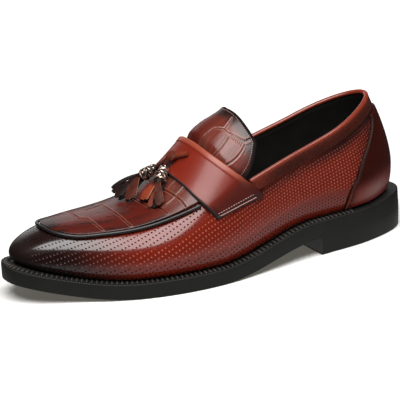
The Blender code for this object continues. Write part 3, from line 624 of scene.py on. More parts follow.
def raw_outline(u, side, margin):
    """Plan of the feather edge, stood off by a margin. side is 1 outside and -1 inside."""
    given = [np.asarray(value, float) for value in (u, side, margin)]
    u, side, margin = np.broadcast_arrays(*given)
    step = 0.004
    edge = raw_skin(u, -side)
    run = raw_skin(np.minimum(1.0, u + step), -side) - raw_skin(np.maximum(0.0, u - step), -side)
    away = side[..., None] * unit(np.stack((-run[..., 1], run[..., 0]), -1))
    away = np.where((u <= 0)[..., None], (-1.0, 0.0), away)
    away = np.where((u >= 1)[..., None], (1.0, 0.0), away)
    return edge[..., :2] + margin[..., None] * away


def box_middle():
    u = np.linspace(0, 1, 61)
    edge = np.concatenate([raw_outline(u, side, welt_margin(u)) for side in (-1, 1)])
    return np.append((edge.min(0) + edge.max(0)) / 2, 0.0)


ORIGIN = box_middle()


def skin(u, across):
    return raw_skin(u, across) - ORIGIN


def skin_normal(u, across):
    """Outward normals of the skin, from the slopes along and across it."""
    u, across = np.broadcast_arrays(np.asarray(u, float), np.asarray(across, float))
    step = 0.002
    inside = np.maximum(u, step)
    edge = np.clip(across, step - 1, 1 - step)
    forward = raw_skin(np.minimum(1.0, inside + step), edge) - raw_skin(inside - step, edge)
    over = raw_skin(inside, edge + step) - raw_skin(inside, edge - step)
    normal = np.cross(over, forward)
    normal[..., 1] = np.where(u <= 0, 0.0, normal[..., 1])
    return np.where((u >= 1)[..., None], (1.0, 0.0, 0.0), unit(normal))


def lifted(u, across, lift):
    """Points at a distance off the skin."""
    return skin(u, across) + np.asarray(lift, float)[..., None] * skin_normal(u, across)


def across_at_height(u, height):
    """How far round a section, from the ridge, the skin passes a height over the floor."""
    along = along_of(u)
    feather, widest, ridge = levels(along)
    over = np.clip((height - widest) / (ridge - widest), 0, 1)
    under = np.clip((widest - height) / (widest - feather), 0, 1)
    high = np.arcsin(over ** (LAST["squareness"](along) / 2))
    low = -np.arcsin(under * math.sin(FEATHER_ANGLE))
    angle = np.where(height >= widest, high, low)
    return 1 - (angle + FEATHER_ANGLE) / (math.pi / 2 + FEATHER_ANGLE)


TURN_ACROSS = float(across_at_height(station(TOPLINE_TURN), TOPLINE_HEIGHT(TOPLINE_TURN) * MM))


def topline(u):
    """Share across at which the upper ends: the collar edge, or the ridge in front of the throat."""
    along = along_of(u)
    edge = across_at_height(u, TOPLINE_HEIGHT(np.minimum(along, TOPLINE_TURN)) * MM)
    turned = np.clip((along - TOPLINE_TURN) / (THROAT - TOPLINE_TURN), 0, 1)
    throat = TURN_ACROSS * (1 - turned**THROAT_CORNER) ** (1 / THROAT_CORNER)
    return np.where(along <= TOPLINE_TURN, edge, throat)


def throat_along(across):
    out = np.minimum(1.0, np.abs(across) / TURN_ACROSS)
    return mix(TOPLINE_TURN, THROAT, (1 - out**THROAT_CORNER) ** (1 / THROAT_CORNER))


def girth_rate(u, across):
    """Length of skin for each unit of share across, there."""
    step = 0.02
    return np.linalg.norm(raw_skin(u, across + step) - raw_skin(u, across), axis=-1) / step


def below_topline(u, depth):
    """Share across at a distance down the skin from the collar edge."""
    top = topline(u)
    return top + depth / girth_rate(u, top)


def outline(u, side, margin, height):
    """Points at a distance outside the feather edge, in plan, at a height."""
    plan = raw_outline(u, side, margin) - ORIGIN[:2]
    return np.concatenate((plan, np.broadcast_to(height, plan.shape[:-1])[..., None]), -1)


def seam_places(along, inset=0.0, tip=SEAM_TIP):
    """Share across of the apron's seam at places along, closed round the toe."""
    start = tip - SEAM_ROUND
    turn = np.clip((along - start) / SEAM_ROUND, 0, 1)
    out = (1 - turn**SEAM_POINT) ** (1 / SEAM_POINT)
    return (SEAM_ACROSS(along) - inset) * out


def even_shares(count, ends):
    """Shares from 0 to 1, with closer ones within a stretch of both ends for a rounded edge."""
    edge = np.array(EDGE_STEPS) * ends
    return np.concatenate((edge, np.linspace(ends, 1 - ends, count + 1), 1 - edge[::-1]))


def round_edge(share, ends):
    """Height of a rounded edge, 0 at both ends of a run of shares and 1 away from them."""
    near = np.clip(np.minimum(share, 1 - share) / ends, 0, 1)
    return np.sqrt(np.maximum(0.0, 1 - (1 - near) ** 2))


def lengths(points):
    """Distance along each path of points, from 0 at its start."""
    steps = np.linalg.norm(np.diff(points, axis=-2), axis=-1)
    return np.concatenate((np.zeros(steps.shape[:-1] + (1,)), np.cumsum(steps, axis=-1)), -1)


def spread_evenly(points, spacing):
    """Shares of a path, evenly spaced along its length."""
    length = lengths(points)
    count = max(2, int(round(length[-1] / spacing)))
    return np.interp(np.linspace(0, length[-1], count + 1), length, np.linspace(0, 1, len(points)))


def evenly(points, spacing, *values):
    """Values along a path, read at places evenly spaced along its length."""
    shares = spread_evenly(points, spacing)
    known = np.linspace(0, 1, len(points))
    return [np.interp(shares, known, value) for value in values]


# Meshes


def quads(rows, columns, first=0, closed_rows=False, closed_columns=False):
    """Faces over a grid of vertices that are numbered row by row."""
    i, j = np.meshgrid(
        np.arange(rows if closed_rows else rows - 1),
        np.arange(columns if closed_columns else columns - 1),
        indexing="ij",
    )
    above = (i + 1) % rows
    beside = (j + 1) % columns
    corners = (i * columns + j, i * columns + beside, above * columns + beside, above * columns + j)
    return np.stack(corners, -1).reshape(-1, 4) + first


def add_object(name, data):
    """Object with its data, in the scene."""
    made = bpy.data.objects.new(name, data)
    bpy.context.scene.collection.objects.link(made)
    return made


class Piece:
    """Vertices, faces and painted values of one piece, gathered part by part."""

    def __init__(self):
        self.points = []
        self.faces = []
        self.paint = []
        self.count = 0

    def add(self, points, faces, **paint):
        """Adds points with their faces and painted values, one value or vector for each point."""
        points = np.asarray(points, float)
        shape = points.shape[:-1]
        painted = {}
        for name, value in paint.items():
            value = np.asarray(value, float)
            wide = (3,) if value.ndim == len(shape) + 1 else ()
            painted[name] = np.broadcast_to(value, shape + wide).reshape((-1,) + wide)
        points = points.reshape(-1, 3)
        self.points.append(points)
        self.faces += (np.asarray(faces) + self.count).tolist()
        self.paint.append(painted)
        self.count += len(points)

    def add_slab(self, outer, inner, **paint):
        """Closed wall between two grids of the same shape."""
        rows, columns = outer.shape[:2]
        number = np.arange(rows * columns).reshape(rows, columns)
        rim = np.concatenate((number[0, :-1], number[:-1, -1], number[-1, :0:-1], number[:0:-1, 0]))
        following = np.roll(rim, -1)
        under = rows * columns
        wall = np.stack((rim, following, following + under, rim + under), -1)
        faces = np.concatenate((quads(rows, columns), quads(rows, columns, under)[:, ::-1], wall[:, ::-1]))
        both = {}
        for name, value in paint.items():
            value = np.broadcast_to(value, outer.shape[:2] + np.shape(value)[2:])
            both[name] = np.stack((value, value))
        self.add(np.stack((outer, inner)), faces, **both)

    def add_sweep(self, sections, closed=False, **paint):
        """Skin through closed sections, capped at both ends unless it closes on itself."""
        rows, columns = sections.shape[:2]
        first = self.count
        last = first + (rows - 1) * columns
        self.add(sections, quads(rows, columns, closed_rows=closed, closed_columns=True), **paint)
        if not closed:
            self.faces += [list(range(end, end + columns)) for end in (first, last)]

    def make(self, name, finish, sharp=None):
        """Object from the gathered parts, merged, turned outwards and shaded."""
        mesh = bpy.data.meshes.new(name)
        mesh.from_pydata(np.concatenate(self.points).tolist(), [], self.faces)
        for key in sorted({key for painted in self.paint for key in painted}):
            vector = any(np.ndim(painted.get(key, 0.0)) == 2 for painted in self.paint)
            blank = (3,) if vector else ()
            values = np.concatenate([
                painted.get(key, np.zeros((len(points),) + blank))
                for points, painted in zip(self.points, self.paint)
            ])
            layer = mesh.attributes.new(key, "FLOAT_VECTOR" if vector else "FLOAT", "POINT")
            layer.data.foreach_set("vector" if vector else "value", values.astype(np.float32).ravel())
        builder = bmesh.new()
        builder.from_mesh(mesh)
        bmesh.ops.remove_doubles(builder, verts=builder.verts, dist=MERGE)
        bmesh.ops.dissolve_degenerate(builder, edges=builder.edges, dist=MERGE / 2)
        bmesh.ops.recalc_face_normals(builder, faces=builder.faces)
        builder.to_mesh(mesh)
        builder.free()
        mesh.shade_smooth()
        if sharp:
            mesh.set_sharp_from_angle(angle=sharp)
        mesh.materials.append(finish_for(finish))
        return add_object(name, mesh)


def settle(piece, slot, *nodes):
    """Rides a finished piece on the shoe and hides the solids that it stands for; its slot is not used."""
    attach(piece, BODY)
    if nodes:
        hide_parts(*nodes)


def tube(points, normals, radius, sides):
    """Round sections at points along a path."""
    run = unit(np.gradient(points, axis=0))
    over = unit(np.cross(run, normals))
    up = np.cross(over, run)
    angle = np.linspace(0, 2 * math.pi, sides, endpoint=False)
    ring = np.cos(angle)[None, :, None] * over[:, None] + np.sin(angle)[None, :, None] * up[:, None]
    return points[:, None] + radius * ring


# Finishes


class Wire:
    """An output socket. Arithmetic on wires and numbers adds Math nodes."""

    def __init__(self, nodes, socket):
        self.nodes = nodes
        self.socket = socket

    def beside(self, output):
        """Another output of the same node."""
        return Wire(self.nodes, self.socket.node.outputs[output])

    def __add__(self, other):
        return self.nodes.maths("ADD", self, other)

    def __sub__(self, other):
        return self.nodes.maths("SUBTRACT", self, other)

    def __rsub__(self, other):
        return self.nodes.maths("SUBTRACT", other, self)

    def __mul__(self, other):
        return self.nodes.maths("MULTIPLY", self, other)

    def __truediv__(self, other):
        return self.nodes.maths("DIVIDE", self, other)

    __radd__ = __add__
    __rmul__ = __mul__


class Nodes:
    """A tree whose nodes are added one by one."""

    def __init__(self, tree):
        self.tree = tree

    def node(self, kind, settings=None, sockets=None, output=0):
        """Adds a node: its settings first, then the values or links of its sockets. Returns an output."""
        made = self.tree.nodes.new(kind)
        for name, value in (settings or {}).items():
            setattr(made, name, value)
        for name, value in (sockets or {}).items():
            self.feed(made.inputs[name], value)
        return Wire(self, made.outputs[output])

    def feed(self, socket, value):
        """Links a wire to a socket, or sets the socket's value."""
        if isinstance(value, Wire):
            self.tree.links.new(value.socket, socket)
        elif socket.type == "RGBA":
            socket.default_value = (*value, 1)
        else:
            socket.default_value = value

    def maths(self, operation, *values):
        return self.node("ShaderNodeMath", {"operation": operation}, dict(enumerate(values)))


class Finish(Nodes):
    """A material, with the textures that the finishes share."""

    def __init__(self, name, **constants):
        self.material = bpy.data.materials.new(name)
        self.material.use_nodes = True
        super().__init__(self.material.node_tree)
        self.shader = self.tree.nodes["Principled BSDF"]
        self.set(**constants)

    def set(self, **sockets):
        """Feeds inputs of the shader, with _ for each space in their names."""
        for key, value in sockets.items():
            self.feed(self.shader.inputs[key.replace("_", " ")], value)

    def ease(self, value, low, high):
        """0 below low, 1 above high, and an even S between them."""
        sockets = {"Value": value, "From Min": low, "From Max": high}
        return self.node("ShaderNodeMapRange", {"interpolation_type": "SMOOTHSTEP"}, sockets)

    def tint(self, share, first, second):
        return self.node("ShaderNodeMix", {"data_type": "RGBA"}, {0: share, 6: first, 7: second}, 2)

    def painted(self, name, output="Fac"):
        return self.node("ShaderNodeAttribute", {"attribute_name": name}, output=output)

    def place(self):
        return self.node("ShaderNodeTexCoord", output="Object")

    def away(self):
        """Distance from the shoe's origin."""
        return self.node("ShaderNodeVectorMath", {"operation": "LENGTH"}, {0: self.place()}, "Value")

    def noise(self, scale, detail, vector=None):
        sockets = {"Vector": vector or self.place(), "Scale": scale, "Detail": detail}
        return self.node("ShaderNodeTexNoise", {}, sockets)

    def cells(self, scale):
        return self.node("ShaderNodeTexVoronoi", {}, {"Vector": self.place(), "Scale": scale})

    def bump(self, height, distance, normal=None):
        sockets = {"Height": height, "Distance": distance, "Strength": 1.0}
        if normal:
            sockets["Normal"] = normal
        return self.node("ShaderNodeBump", {}, sockets)

    def grain(self, fine, slow, depth):
        """Bump of calf grain: small soft cells over a slower unevenness."""
        return self.bump(self.cells(fine) * 0.6 + self.noise(slow, 3.0) * 0.4, depth)


def dimple_height(finish, radius):
    """1 in the middle of each pressed dimple, 0 off it, from the pattern's own coordinates."""
    split = finish.node("ShaderNodeSeparateXYZ", {}, {0: finish.painted("dot_place", "Vector")})
    off = [step - finish.maths("ROUND", step) for step in (split, split.beside(1))]
    stretch = finish.painted("stretch")
    square = 0.0
    for axis in (0, 1):
        reach = 0.0
        for share, quarter, skirt in zip(off, QUARTER_STEPS, SKIRT_STEPS):
            reach = share * (stretch * (skirt[axis] - quarter[axis]) + quarter[axis]) + reach
        square = reach * reach + square
    distance = finish.maths("SQRT", square)
    return (1 - finish.maths("MINIMUM", distance / (radius / MM), 1.0)) * finish.painted("dimpled")


def burnished_leather(name, colours):
    """Polished red-brown calf, darkened by hand at the toe and heel, with pressed dimples painted dark as
    painted shade where the side is lit and pale as a painted highlight elsewhere.
    """
    sizes = bpy.context.scene.loafer_sizes
    finish = Finish(name, Coat_Roughness=0.14, Coat_IOR=COAT_IOR, IOR=1.25)
    mottle = finish.noise(60, 4.0)
    fine = finish.noise(420, 2.0)
    shade = finish.ease(finish.painted("burnish") + (mottle - 0.5) * 0.16, 0.05, 1.0)
    colour = finish.tint(shade, colours.leather, colours.burnish)
    colour = finish.tint((fine - 0.35) * 0.25, colour, colours.burnish)
    dimple = dimple_height(finish, sizes.dimple_radius)
    pressed = finish.ease(dimple, 0.0, 0.35)
    # Painted light in the dimples: dark as painted shade where lit, the dimple colours as a painted highlight
    # elsewhere.
    lit = finish.painted("lit")
    dimple_glint = finish.tint(shade, colours.dimple, colours.dimple_glint_on_burnish)
    colour = finish.tint(pressed * 0.85, colour, finish.tint(lit, dimple_glint, colours.burnish))
    dull = finish.maths("MAXIMUM", pressed * lit, finish.painted("matt"))
    gloss = (shade * 0.2 + (mottle - 0.5) * 0.2 + 0.72) * (1 - dull)
    finish.set(Base_Color=colour, Roughness=(fine - 0.5) * 0.16 + dull * 0.35 + 0.26, Coat_Weight=gloss)
    grain = finish.grain(FINE_GRAIN, SLOW_GRAIN, GRAIN_DEPTH)
    finish.set(Normal=finish.bump(1 - dimple, sizes.dimple_depth, grain))
    return finish.material


def plain_leather(name, colours, main, bloom, rough, coat, sheen):
    """Smooth polished leather: burnish and painted shade from its painted values, a painted sheen where one
    is set, and dull at its cut edges.
    """
    finish = Finish(name, Coat_Roughness=0.16, Coat_IOR=COAT_IOR, IOR=sheen)
    mottle = finish.noise(70, 4.0)
    fine = finish.noise(480, 2.0)
    dull = finish.painted("dull")
    shade = finish.ease(finish.painted("burnish") + (mottle - 0.5) * 0.14, 0.05, 1.0)
    colour = finish.tint(shade, getattr(colours, main), colours.burnish)
    colour = finish.tint((fine - 0.35) * 0.06, colour, colours.burnish)
    colour = finish.tint(finish.painted("bloom"), colour, getattr(colours, bloom))
    gloss = ((mottle - 0.5) * 0.2 + coat) * (1 - dull)
    finish.set(Base_Color=colour, Roughness=(fine - 0.5) * 0.08 + dull * 0.5 + rough, Coat_Weight=gloss)
    finish.set(Normal=finish.grain(FINE_GRAIN, SLOW_GRAIN, GRAIN_DEPTH))
    return finish.material


def embossed_leather(name, colours):
    """Leather pressed with large scales: streaked along the shoe, with painted shade in the creases, a
    painted highlight on their rims and a painted sheen where one is set.
    """
    finish = Finish(name, Coat_Roughness=0.18, Coat_IOR=COAT_IOR, IOR=1.38, Coat_Weight=0.15)
    flat = finish.painted("grain_place", "Vector")
    drawn = []
    for along in STREAK_STRETCH:
        sockets = {"Vector": flat, "Scale": (along, 1.0, 1.0)}
        drawn.append(finish.node("ShaderNodeMapping", {"vector_type": "POINT"}, sockets))
    streaks = finish.noise(900, 4.0, drawn[0])
    broad = finish.noise(160, 3.0, drawn[1])
    rubbed = finish.painted("burnish") + (broad - 0.5) * 1.4 + (streaks - 0.5) * 1.4 + 0.3
    colour = finish.tint(finish.ease(rubbed, 0.0, 0.9), colours.apron, colours.burnish)
    colour = finish.tint(finish.painted("bloom") * finish.ease(broad, 0.2, 0.7), colour, colours.rim)
    # Painted highlight on each crease's rim, then painted shade down in the crease.
    colour = finish.tint(finish.ease(finish.painted("rim"), 0.3, 0.9) * 0.34, colour, colours.rim)
    colour = finish.tint(finish.ease(finish.painted("crease"), 0.25, 0.9) * 0.85, colour, colours.burnish)
    finish.set(Base_Color=colour, Roughness=(streaks - 0.5) * 0.25 + 0.30)
    grain = finish.grain(1300, 400, GRAIN_DEPTH)
    finish.set(Normal=finish.bump(streaks * 0.6 + broad * 0.4, STREAK_DEPTH, grain))
    return finish.material


def edging_leather(name, colours, rough, coat, sheen):
    """Black edging, lightly wrinkled."""
    finish = Finish(name, Coat_Roughness=0.14, Coat_IOR=COAT_IOR, IOR=sheen, Coat_Weight=coat)
    wrinkle = finish.noise(700, 3.0)
    colour = finish.tint(finish.noise(90, 2.0) * 0.5, colours.piping, colours.piping_worn)
    finish.set(Base_Color=colour, Roughness=wrinkle * 0.14 + rough)
    finish.set(Normal=finish.bump(wrinkle, WRINKLE_DEPTH))
    return finish.material


def rubber(name, colours, dust, rough):
    """Moulded black rubber, satin, with faint mould grain, a paler tint (dust on the sole, a painted
    highlight on the welt's ribs), and bars where a tread is painted.
    """
    finish = Finish(name, IOR=1.27)
    grain = finish.noise(1400, 3.0)
    slow = finish.noise(45, 3.0)
    colour = finish.tint(slow * 0.5, colours.rubber, getattr(colours, dust))
    finish.set(Base_Color=colour, Roughness=grain * 0.16 + slow * 0.06 + rough)
    bars = {"wave_type": "BANDS", "bands_direction": "X", "wave_profile": "SIN"}
    pitch = bpy.context.scene.loafer_sizes.tread_pitch
    sockets = {"Vector": finish.place(), "Scale": WAVE_SCALE / pitch}
    wave = finish.node("ShaderNodeTexWave", bars, sockets, "Fac")
    tread = finish.ease(wave, 0.3, 0.6) * finish.painted("tread")
    finish.set(Normal=finish.bump(tread, TREAD_DEPTH, finish.bump(grain, MOULD_GRAIN_DEPTH)))
    return finish.material


def lining_leather(name, colours):
    """Soft black lining leather."""
    finish = Finish(name, IOR=1.25)
    slow = finish.noise(80, 3.0)
    colour = finish.tint(slow * 0.6, colours.lining, colours.lining_worn)
    finish.set(Base_Color=colour, Roughness=slow * 0.15 + 0.55)
    finish.set(Normal=finish.bump(finish.cells(900), PORE_DEPTH))
    return finish.material


def antique_bronze(name, colours):
    """Cast bronze with black in the recesses and rubbed, pinkish high spots."""
    finish = Finish(name)
    rubbed = finish.ease(finish.painted("relief"), 0.72, 0.98)
    speck = finish.noise(1200, 2.0)
    finish.set(Base_Color=finish.tint(rubbed, colours.bronze_recess, colours.bronze))
    finish.set(Metallic=rubbed * 0.65 + 0.35, Roughness=speck * 0.1 + (0.5 - rubbed * 0.22))
    finish.set(Normal=finish.bump(speck, SPECK_DEPTH))
    return finish.material


def tassel_leather(name, colours):
    """Orange-brown strips with pale raw cut edges and painted shade: darker towards the caps and on the
    strips that lie in shadow.
    """
    finish = Finish(name, IOR=1.22)
    mottle = finish.noise(180, 3.0)
    shade = finish.ease(finish.painted("burnish") + (mottle - 0.5) * 0.4, 0.05, 0.95)
    colour = finish.tint(shade, colours.tassel, colours.burnish)
    colour = finish.tint(finish.ease(finish.painted("edge"), 0.4, 0.7), colour, colours.cut_edge)
    finish.set(Base_Color=colour, Roughness=mottle * 0.16 + 0.46)
    finish.set(Normal=finish.grain(FINE_GRAIN, 600, STRIP_GRAIN_DEPTH))
    return finish.material


def thread(name, colours):
    """Waxed thread, twisted. The colour has the finish's own name."""
    finish = Finish(name, IOR=1.3)
    twist = finish.noise(2600, 2.0)
    colour = getattr(colours, name)
    finish.set(Base_Color=finish.tint(twist, colour, [part / 2 for part in colour]))
    finish.set(Roughness=twist * 0.2 + 0.45, Normal=finish.bump(twist, TWIST_DEPTH))
    return finish.material


# Each finish: the function that makes it, then the values that tell it from its likes.
FINISHES = {
    "burnished_leather": (burnished_leather,),
    "embossed_leather": (embossed_leather,),
    "piping_leather": (edging_leather, 0.28, 0.25, 1.35),
    "binding_leather": (edging_leather, 0.60, 0.0, 1.06),
    "sole_rubber": (rubber, "dust", 0.42),
    "rib_rubber": (rubber, "rib_dust", 0.30),
    "insole_leather": (lining_leather,),
    "antique_bronze": (antique_bronze,),
    "tassel_leather": (tassel_leather,),
    "strap_leather": (plain_leather, "strap", "strap_fold", 0.40, 0.16, 1.40),
    "counter_leather": (plain_leather, "leather", "bloom", 0.30, 0.50, 1.08),
    "collar_leather": (plain_leather, "collar", "bloom", 0.28, 0.40, 1.40),
    "pale_thread": (thread,),
    "dark_thread": (thread,),
}
MADE = {}


def finish_for(name):
    """Material by name, made once."""
    if name not in MADE:
        maker, *values = FINISHES[name]
        MADE[name] = maker(name, bpy.context.scene.loafer_colours, *values)
    return MADE[name]


# Repeats along a path


def bead_tree(name, across):
    """Geometry nodes: beads at an even pitch along a curve, lying along it or across it on the level."""
    tree = bpy.data.node_groups.new(name, "GeometryNodeTree")
    tree.interface.new_socket("Geometry", in_out="INPUT", socket_type="NodeSocketGeometry")
    for label in ("Pitch", "Length", "Width", "Height"):
        tree.interface.new_socket(label, in_out="INPUT", socket_type="NodeSocketFloat")
    tree.interface.new_socket("Material", in_out="INPUT", socket_type="NodeSocketMaterial")
    tree.interface.new_socket("Geometry", in_out="OUTPUT", socket_type="NodeSocketGeometry")
    nodes = Nodes(tree)
    given = nodes.node("NodeGroupInput")
    sockets = {"Curve": given, "Length": given.beside("Pitch")}
    points = nodes.node("GeometryNodeCurveToPoints", {"mode": "LENGTH"}, sockets, "Points")
    axis = points.beside("Tangent")
    if across:
        axis = nodes.node("ShaderNodeVectorMath", {"operation": "CROSS_PRODUCT"}, {0: axis, 1: UP})
    turn = nodes.node("FunctionNodeAlignRotationToVector", {"axis": "Z"}, {"Vector": axis})
    settings = {"axis": "X", "pivot_axis": "Z"}
    turn = nodes.node("FunctionNodeAlignRotationToVector", settings, {"Rotation": turn, "Vector": UP})
    bead = nodes.node("GeometryNodeMeshUVSphere", {}, BEAD)
    sides = {"X": given.beside("Height"), "Y": given.beside("Width"), "Z": given.beside("Length")}
    size = nodes.node("ShaderNodeCombineXYZ", {}, sides)
    sockets = {"Points": points, "Instance": bead, "Rotation": turn, "Scale": size}
    beads = nodes.node("GeometryNodeInstanceOnPoints", {}, sockets)
    beads = nodes.node("GeometryNodeRealizeInstances", {}, {"Geometry": beads})
    beads = nodes.node("GeometryNodeSetShadeSmooth", {}, {"Geometry": beads})
    sockets = {"Geometry": beads, "Material": given.beside("Material")}
    beads = nodes.node("GeometryNodeSetMaterial", {}, sockets)
    nodes.feed(tree.nodes.new("NodeGroupOutput").inputs["Geometry"], beads)
    return tree


def beads_along(name, paths, pitch, length, width, height, finish, across=False):
    """Plain mesh of beads along paths of points."""
    curve = bpy.data.curves.new(name + "_path", "CURVE")
    curve.dimensions = "3D"
    for points in paths:
        spline = curve.splines.new("POLY")
        spline.points.add(len(points) - 1)
        spline.points.foreach_set("co", np.column_stack((points, np.ones(len(points)))).ravel())
    path = add_object(name + "_path", curve)
    tree = bead_tree(name + "_nodes", across)
    maker = path.modifiers.new("beads", "NODES")
    maker.node_group = tree
    values = {"Pitch": pitch, "Length": length, "Width": width, "Height": height}
    values["Material"] = finish_for(finish)
    for item in tree.interface.items_tree:
        if item.in_out == "INPUT" and item.name in values:
            maker[item.identifier] = values[item.name]
    depsgraph = bpy.context.evaluated_depsgraph_get()
    mesh = bpy.data.meshes.new_from_object(path.evaluated_get(depsgraph), depsgraph=depsgraph)
    bpy.data.objects.remove(path)
    mesh.name = name
    return add_object(name, mesh)


# Upper


def dimple_pattern(along, run, height):
    """Coordinates of the dimple pattern at a run along and a height up the side, and the stretch there."""
    stretch = smooth(*STRETCH, along)
    steps = mix(np.array(QUARTER_STEPS).T, np.array(SKIRT_STEPS).T, stretch[..., None, None]) * MM
    share = np.linalg.inv(steps)
    forward = np.cumsum(share[:, 0, :, 0] * np.diff(run, prepend=run[0])[:, None], axis=0)
    return forward[:, None] + share[..., 1] * height[..., None], stretch


def burnish_and_shade_of(along, across, down):
    """Darkness of the upper: burnish at the toe and heel, and painted shade under the collar's edge and at
    the strap's ends.
    """
    toe = smooth(*TOE_SHADE, along) * TOE_SHADE_DEPTH
    heel = (1 - smooth(*HEEL_SHADE, along)) * HEEL_SHADE_DEPTH
    depth = mix(*COLLAR_SHADE_DEPTHS, smooth(*COLLAR_SHADE_EASE, along))
    depth = depth * (1 - smooth(*COLLAR_SHADE_END, along))
    collar = bell(np.maximum(down - COLLAR_DEPTH, 0), COLLAR_SHADE_REACH) * depth
    strap = bell(along - STRAP_SHADE_PLACE[0], STRAP_SHADE_REACH[0])
    strap = strap * bell(np.abs(across) - STRAP_SHADE_PLACE[1], STRAP_SHADE_REACH[1]) * STRAP_SHADE_DEPTH
    return np.clip(np.maximum.reduce((toe, heel, collar, strap)), 0, 1)


def toe_matt(along):
    """Dullness of the toe's front, where the polish is thin."""
    return smooth(*TOE_MATT, along) * TOE_MATT_DEPTH


def upper_cap(u):
    """Share across at which the close rows of the upper end: the collar edge, or just inside the seam."""
    along = along_of(u)
    first = SEAM[0][0]
    seam = np.maximum(0.0, seam_places(np.maximum(along, first)) - UNDER_APRON)
    inside = mix(TURN_ACROSS, SEAM_ACROSS(first) - UNDER_APRON, smooth(TOPLINE_TURN, first, along))
    return np.where(along <= TOPLINE_TURN, topline(u), np.where(along < first, inside, seam))


def build_upper(sizes):
    """Outer leather of the upper: close rows where it shows, wide rows under the apron and inside."""
    spacing = sizes.upper_spacing
    u = spread_evenly(skin(np.linspace(0, 1, 1500), -SIDE_LINE), spacing)
    grid_u = u[:, None]
    along = along_of(u)
    cap = upper_cap(u)[:, None]
    top = topline(u)
    rate = girth_rate(u, top)[:, None]
    piece = Piece()
    for side in (-1, 1):
        shares = mix(1.0, cap, np.linspace(0, 1, 160))
        girth = lengths(skin(grid_u, side * shares))
        rows = int(girth.max() / spacing) + 2
        height = np.minimum(np.arange(rows)[None] * spacing, girth[:, -1:])
        across = np.stack([np.interp(*row) for row in zip(height, girth, shares)])
        grid_along = np.broadcast_to(along[:, None], height.shape)
        place, stretch = dimple_pattern(grid_along, lengths(skin(u, side * SIDE_LINE)), height)
        down = np.where(grid_along <= TOPLINE_TURN, (across - top[:, None]) * rate, FAR)
        beside_seam = np.where(grid_along > SEAM[0][0], girth[:, -1:] - height, FAR)
        dimpled = smooth(*DIMPLES_BELOW_COLLAR, down) * smooth(*DIMPLES_OVER_WELT, height)
        dimpled = dimpled * (1 - smooth(*DIMPLES_END, grid_along)) * smooth(*DIMPLES_OFF_SEAM, beside_seam)
        # Painted shade along the welt, where the side turns under.
        foot = (1 - smooth(*FOOT_SHADE, height)) * FOOT_SHADE_DEPTH
        facing = skin_normal(grid_u, side * across)[..., 2]
        outer = skin(grid_u, side * across)
        piece.add(
            outer,
            quads(*height.shape),
            dot_place=np.concatenate((place, np.zeros(place.shape[:2] + (1,))), -1),
            stretch=stretch,
            dimpled=dimpled,
            burnish=np.maximum(burnish_and_shade_of(grid_along, across, down), foot),
            lit=np.maximum(smooth(*LIT_FROM_ABOVE, facing), 1 - smooth(*LIT_FROM_BELOW, facing)),
            matt=toe_matt(grid_along),
        )
        closing = mix(cap, top[:, None], np.linspace(0, 1, 5))
        grid_along = np.broadcast_to(along[:, None], closing.shape)
        paint = {"burnish": burnish_and_shade_of(grid_along, closing, FAR), "matt": toe_matt(grid_along)}
        piece.add(skin(grid_u, side * closing), quads(*closing.shape), **paint)
        back = mix(1.0, top[:, None], np.linspace(0, 1, 9))
        inner = lifted(grid_u, side * back, -WALL / 2)
        piece.add(inner, quads(*back.shape))
        mouth = slice(0, np.nonzero(top > CLOSED)[0][-1] + 2)
        for first, second in ((outer[:, 0], inner[:, 0]), (skin(u, side * top)[mouth], inner[mouth, -1])):
            rim = np.stack((first, second), 1)
            piece.add(rim, quads(len(rim), 2), burnish=RIM_SHADE)
    settle(piece.make("upper_leather", "burnished_leather"), "burnished_leather", "upper")


def build_lining():
    """Black lining inside the upper's leather."""
    u = np.linspace(0, 1, 121)[:, None]
    rows = mix(1.0, topline(u), np.linspace(0, 1, 15))
    piece = Piece()
    for side in (-1, 1):
        piece.add_slab(*[lifted(u, side * rows, lift) for lift in LINING_LIFTS])
    settle(piece.make("lining", "insole_leather"), "insole_leather")


# Apron, piping, strap, tongue


def crease_depth(first, second, creases, width, scales):
    """How deep a place lies in the nearest crease, 0 to 1, and how high on the rim beside it."""
    depth = np.zeros(first.shape)
    rim = np.zeros(first.shape)
    for points, share in creases:
        for (x0, y0), (x1, y1) in zip(points, points[1:]):
            run = np.array(((x1 - x0) * scales[0], (y1 - y0) * scales[1]))
            at = np.stack(((first - x0) * scales[0], (second - y0) * scales[1]), -1)
            part = np.clip(at @ run / (run @ run), 0, 1)
            off = np.linalg.norm(at - part[..., None] * run, axis=-1)
            depth = np.maximum(depth, share * bell(off, width))
            rim = np.maximum(rim, share * bell(off - 2 * width, width))
    return depth, rim


def grain_place(along, across):
    """Flat coordinates for the streaks of the embossed leather."""
    return np.stack((along * LAST_LENGTH, across * VAMP_GIRTH, np.zeros(across.shape)), -1)


def toe_run(back, tip, straight, turned):
    """Places along from a back end to the seam's tip, closer together where the seam turns round the toe."""
    start = tip - SEAM_ROUND
    turn = np.sin(np.linspace(0, math.pi / 2, turned)) ** (2 / SEAM_POINT)
    return np.concatenate((np.linspace(back, start, straight)[:-1], start + SEAM_ROUND * turn))


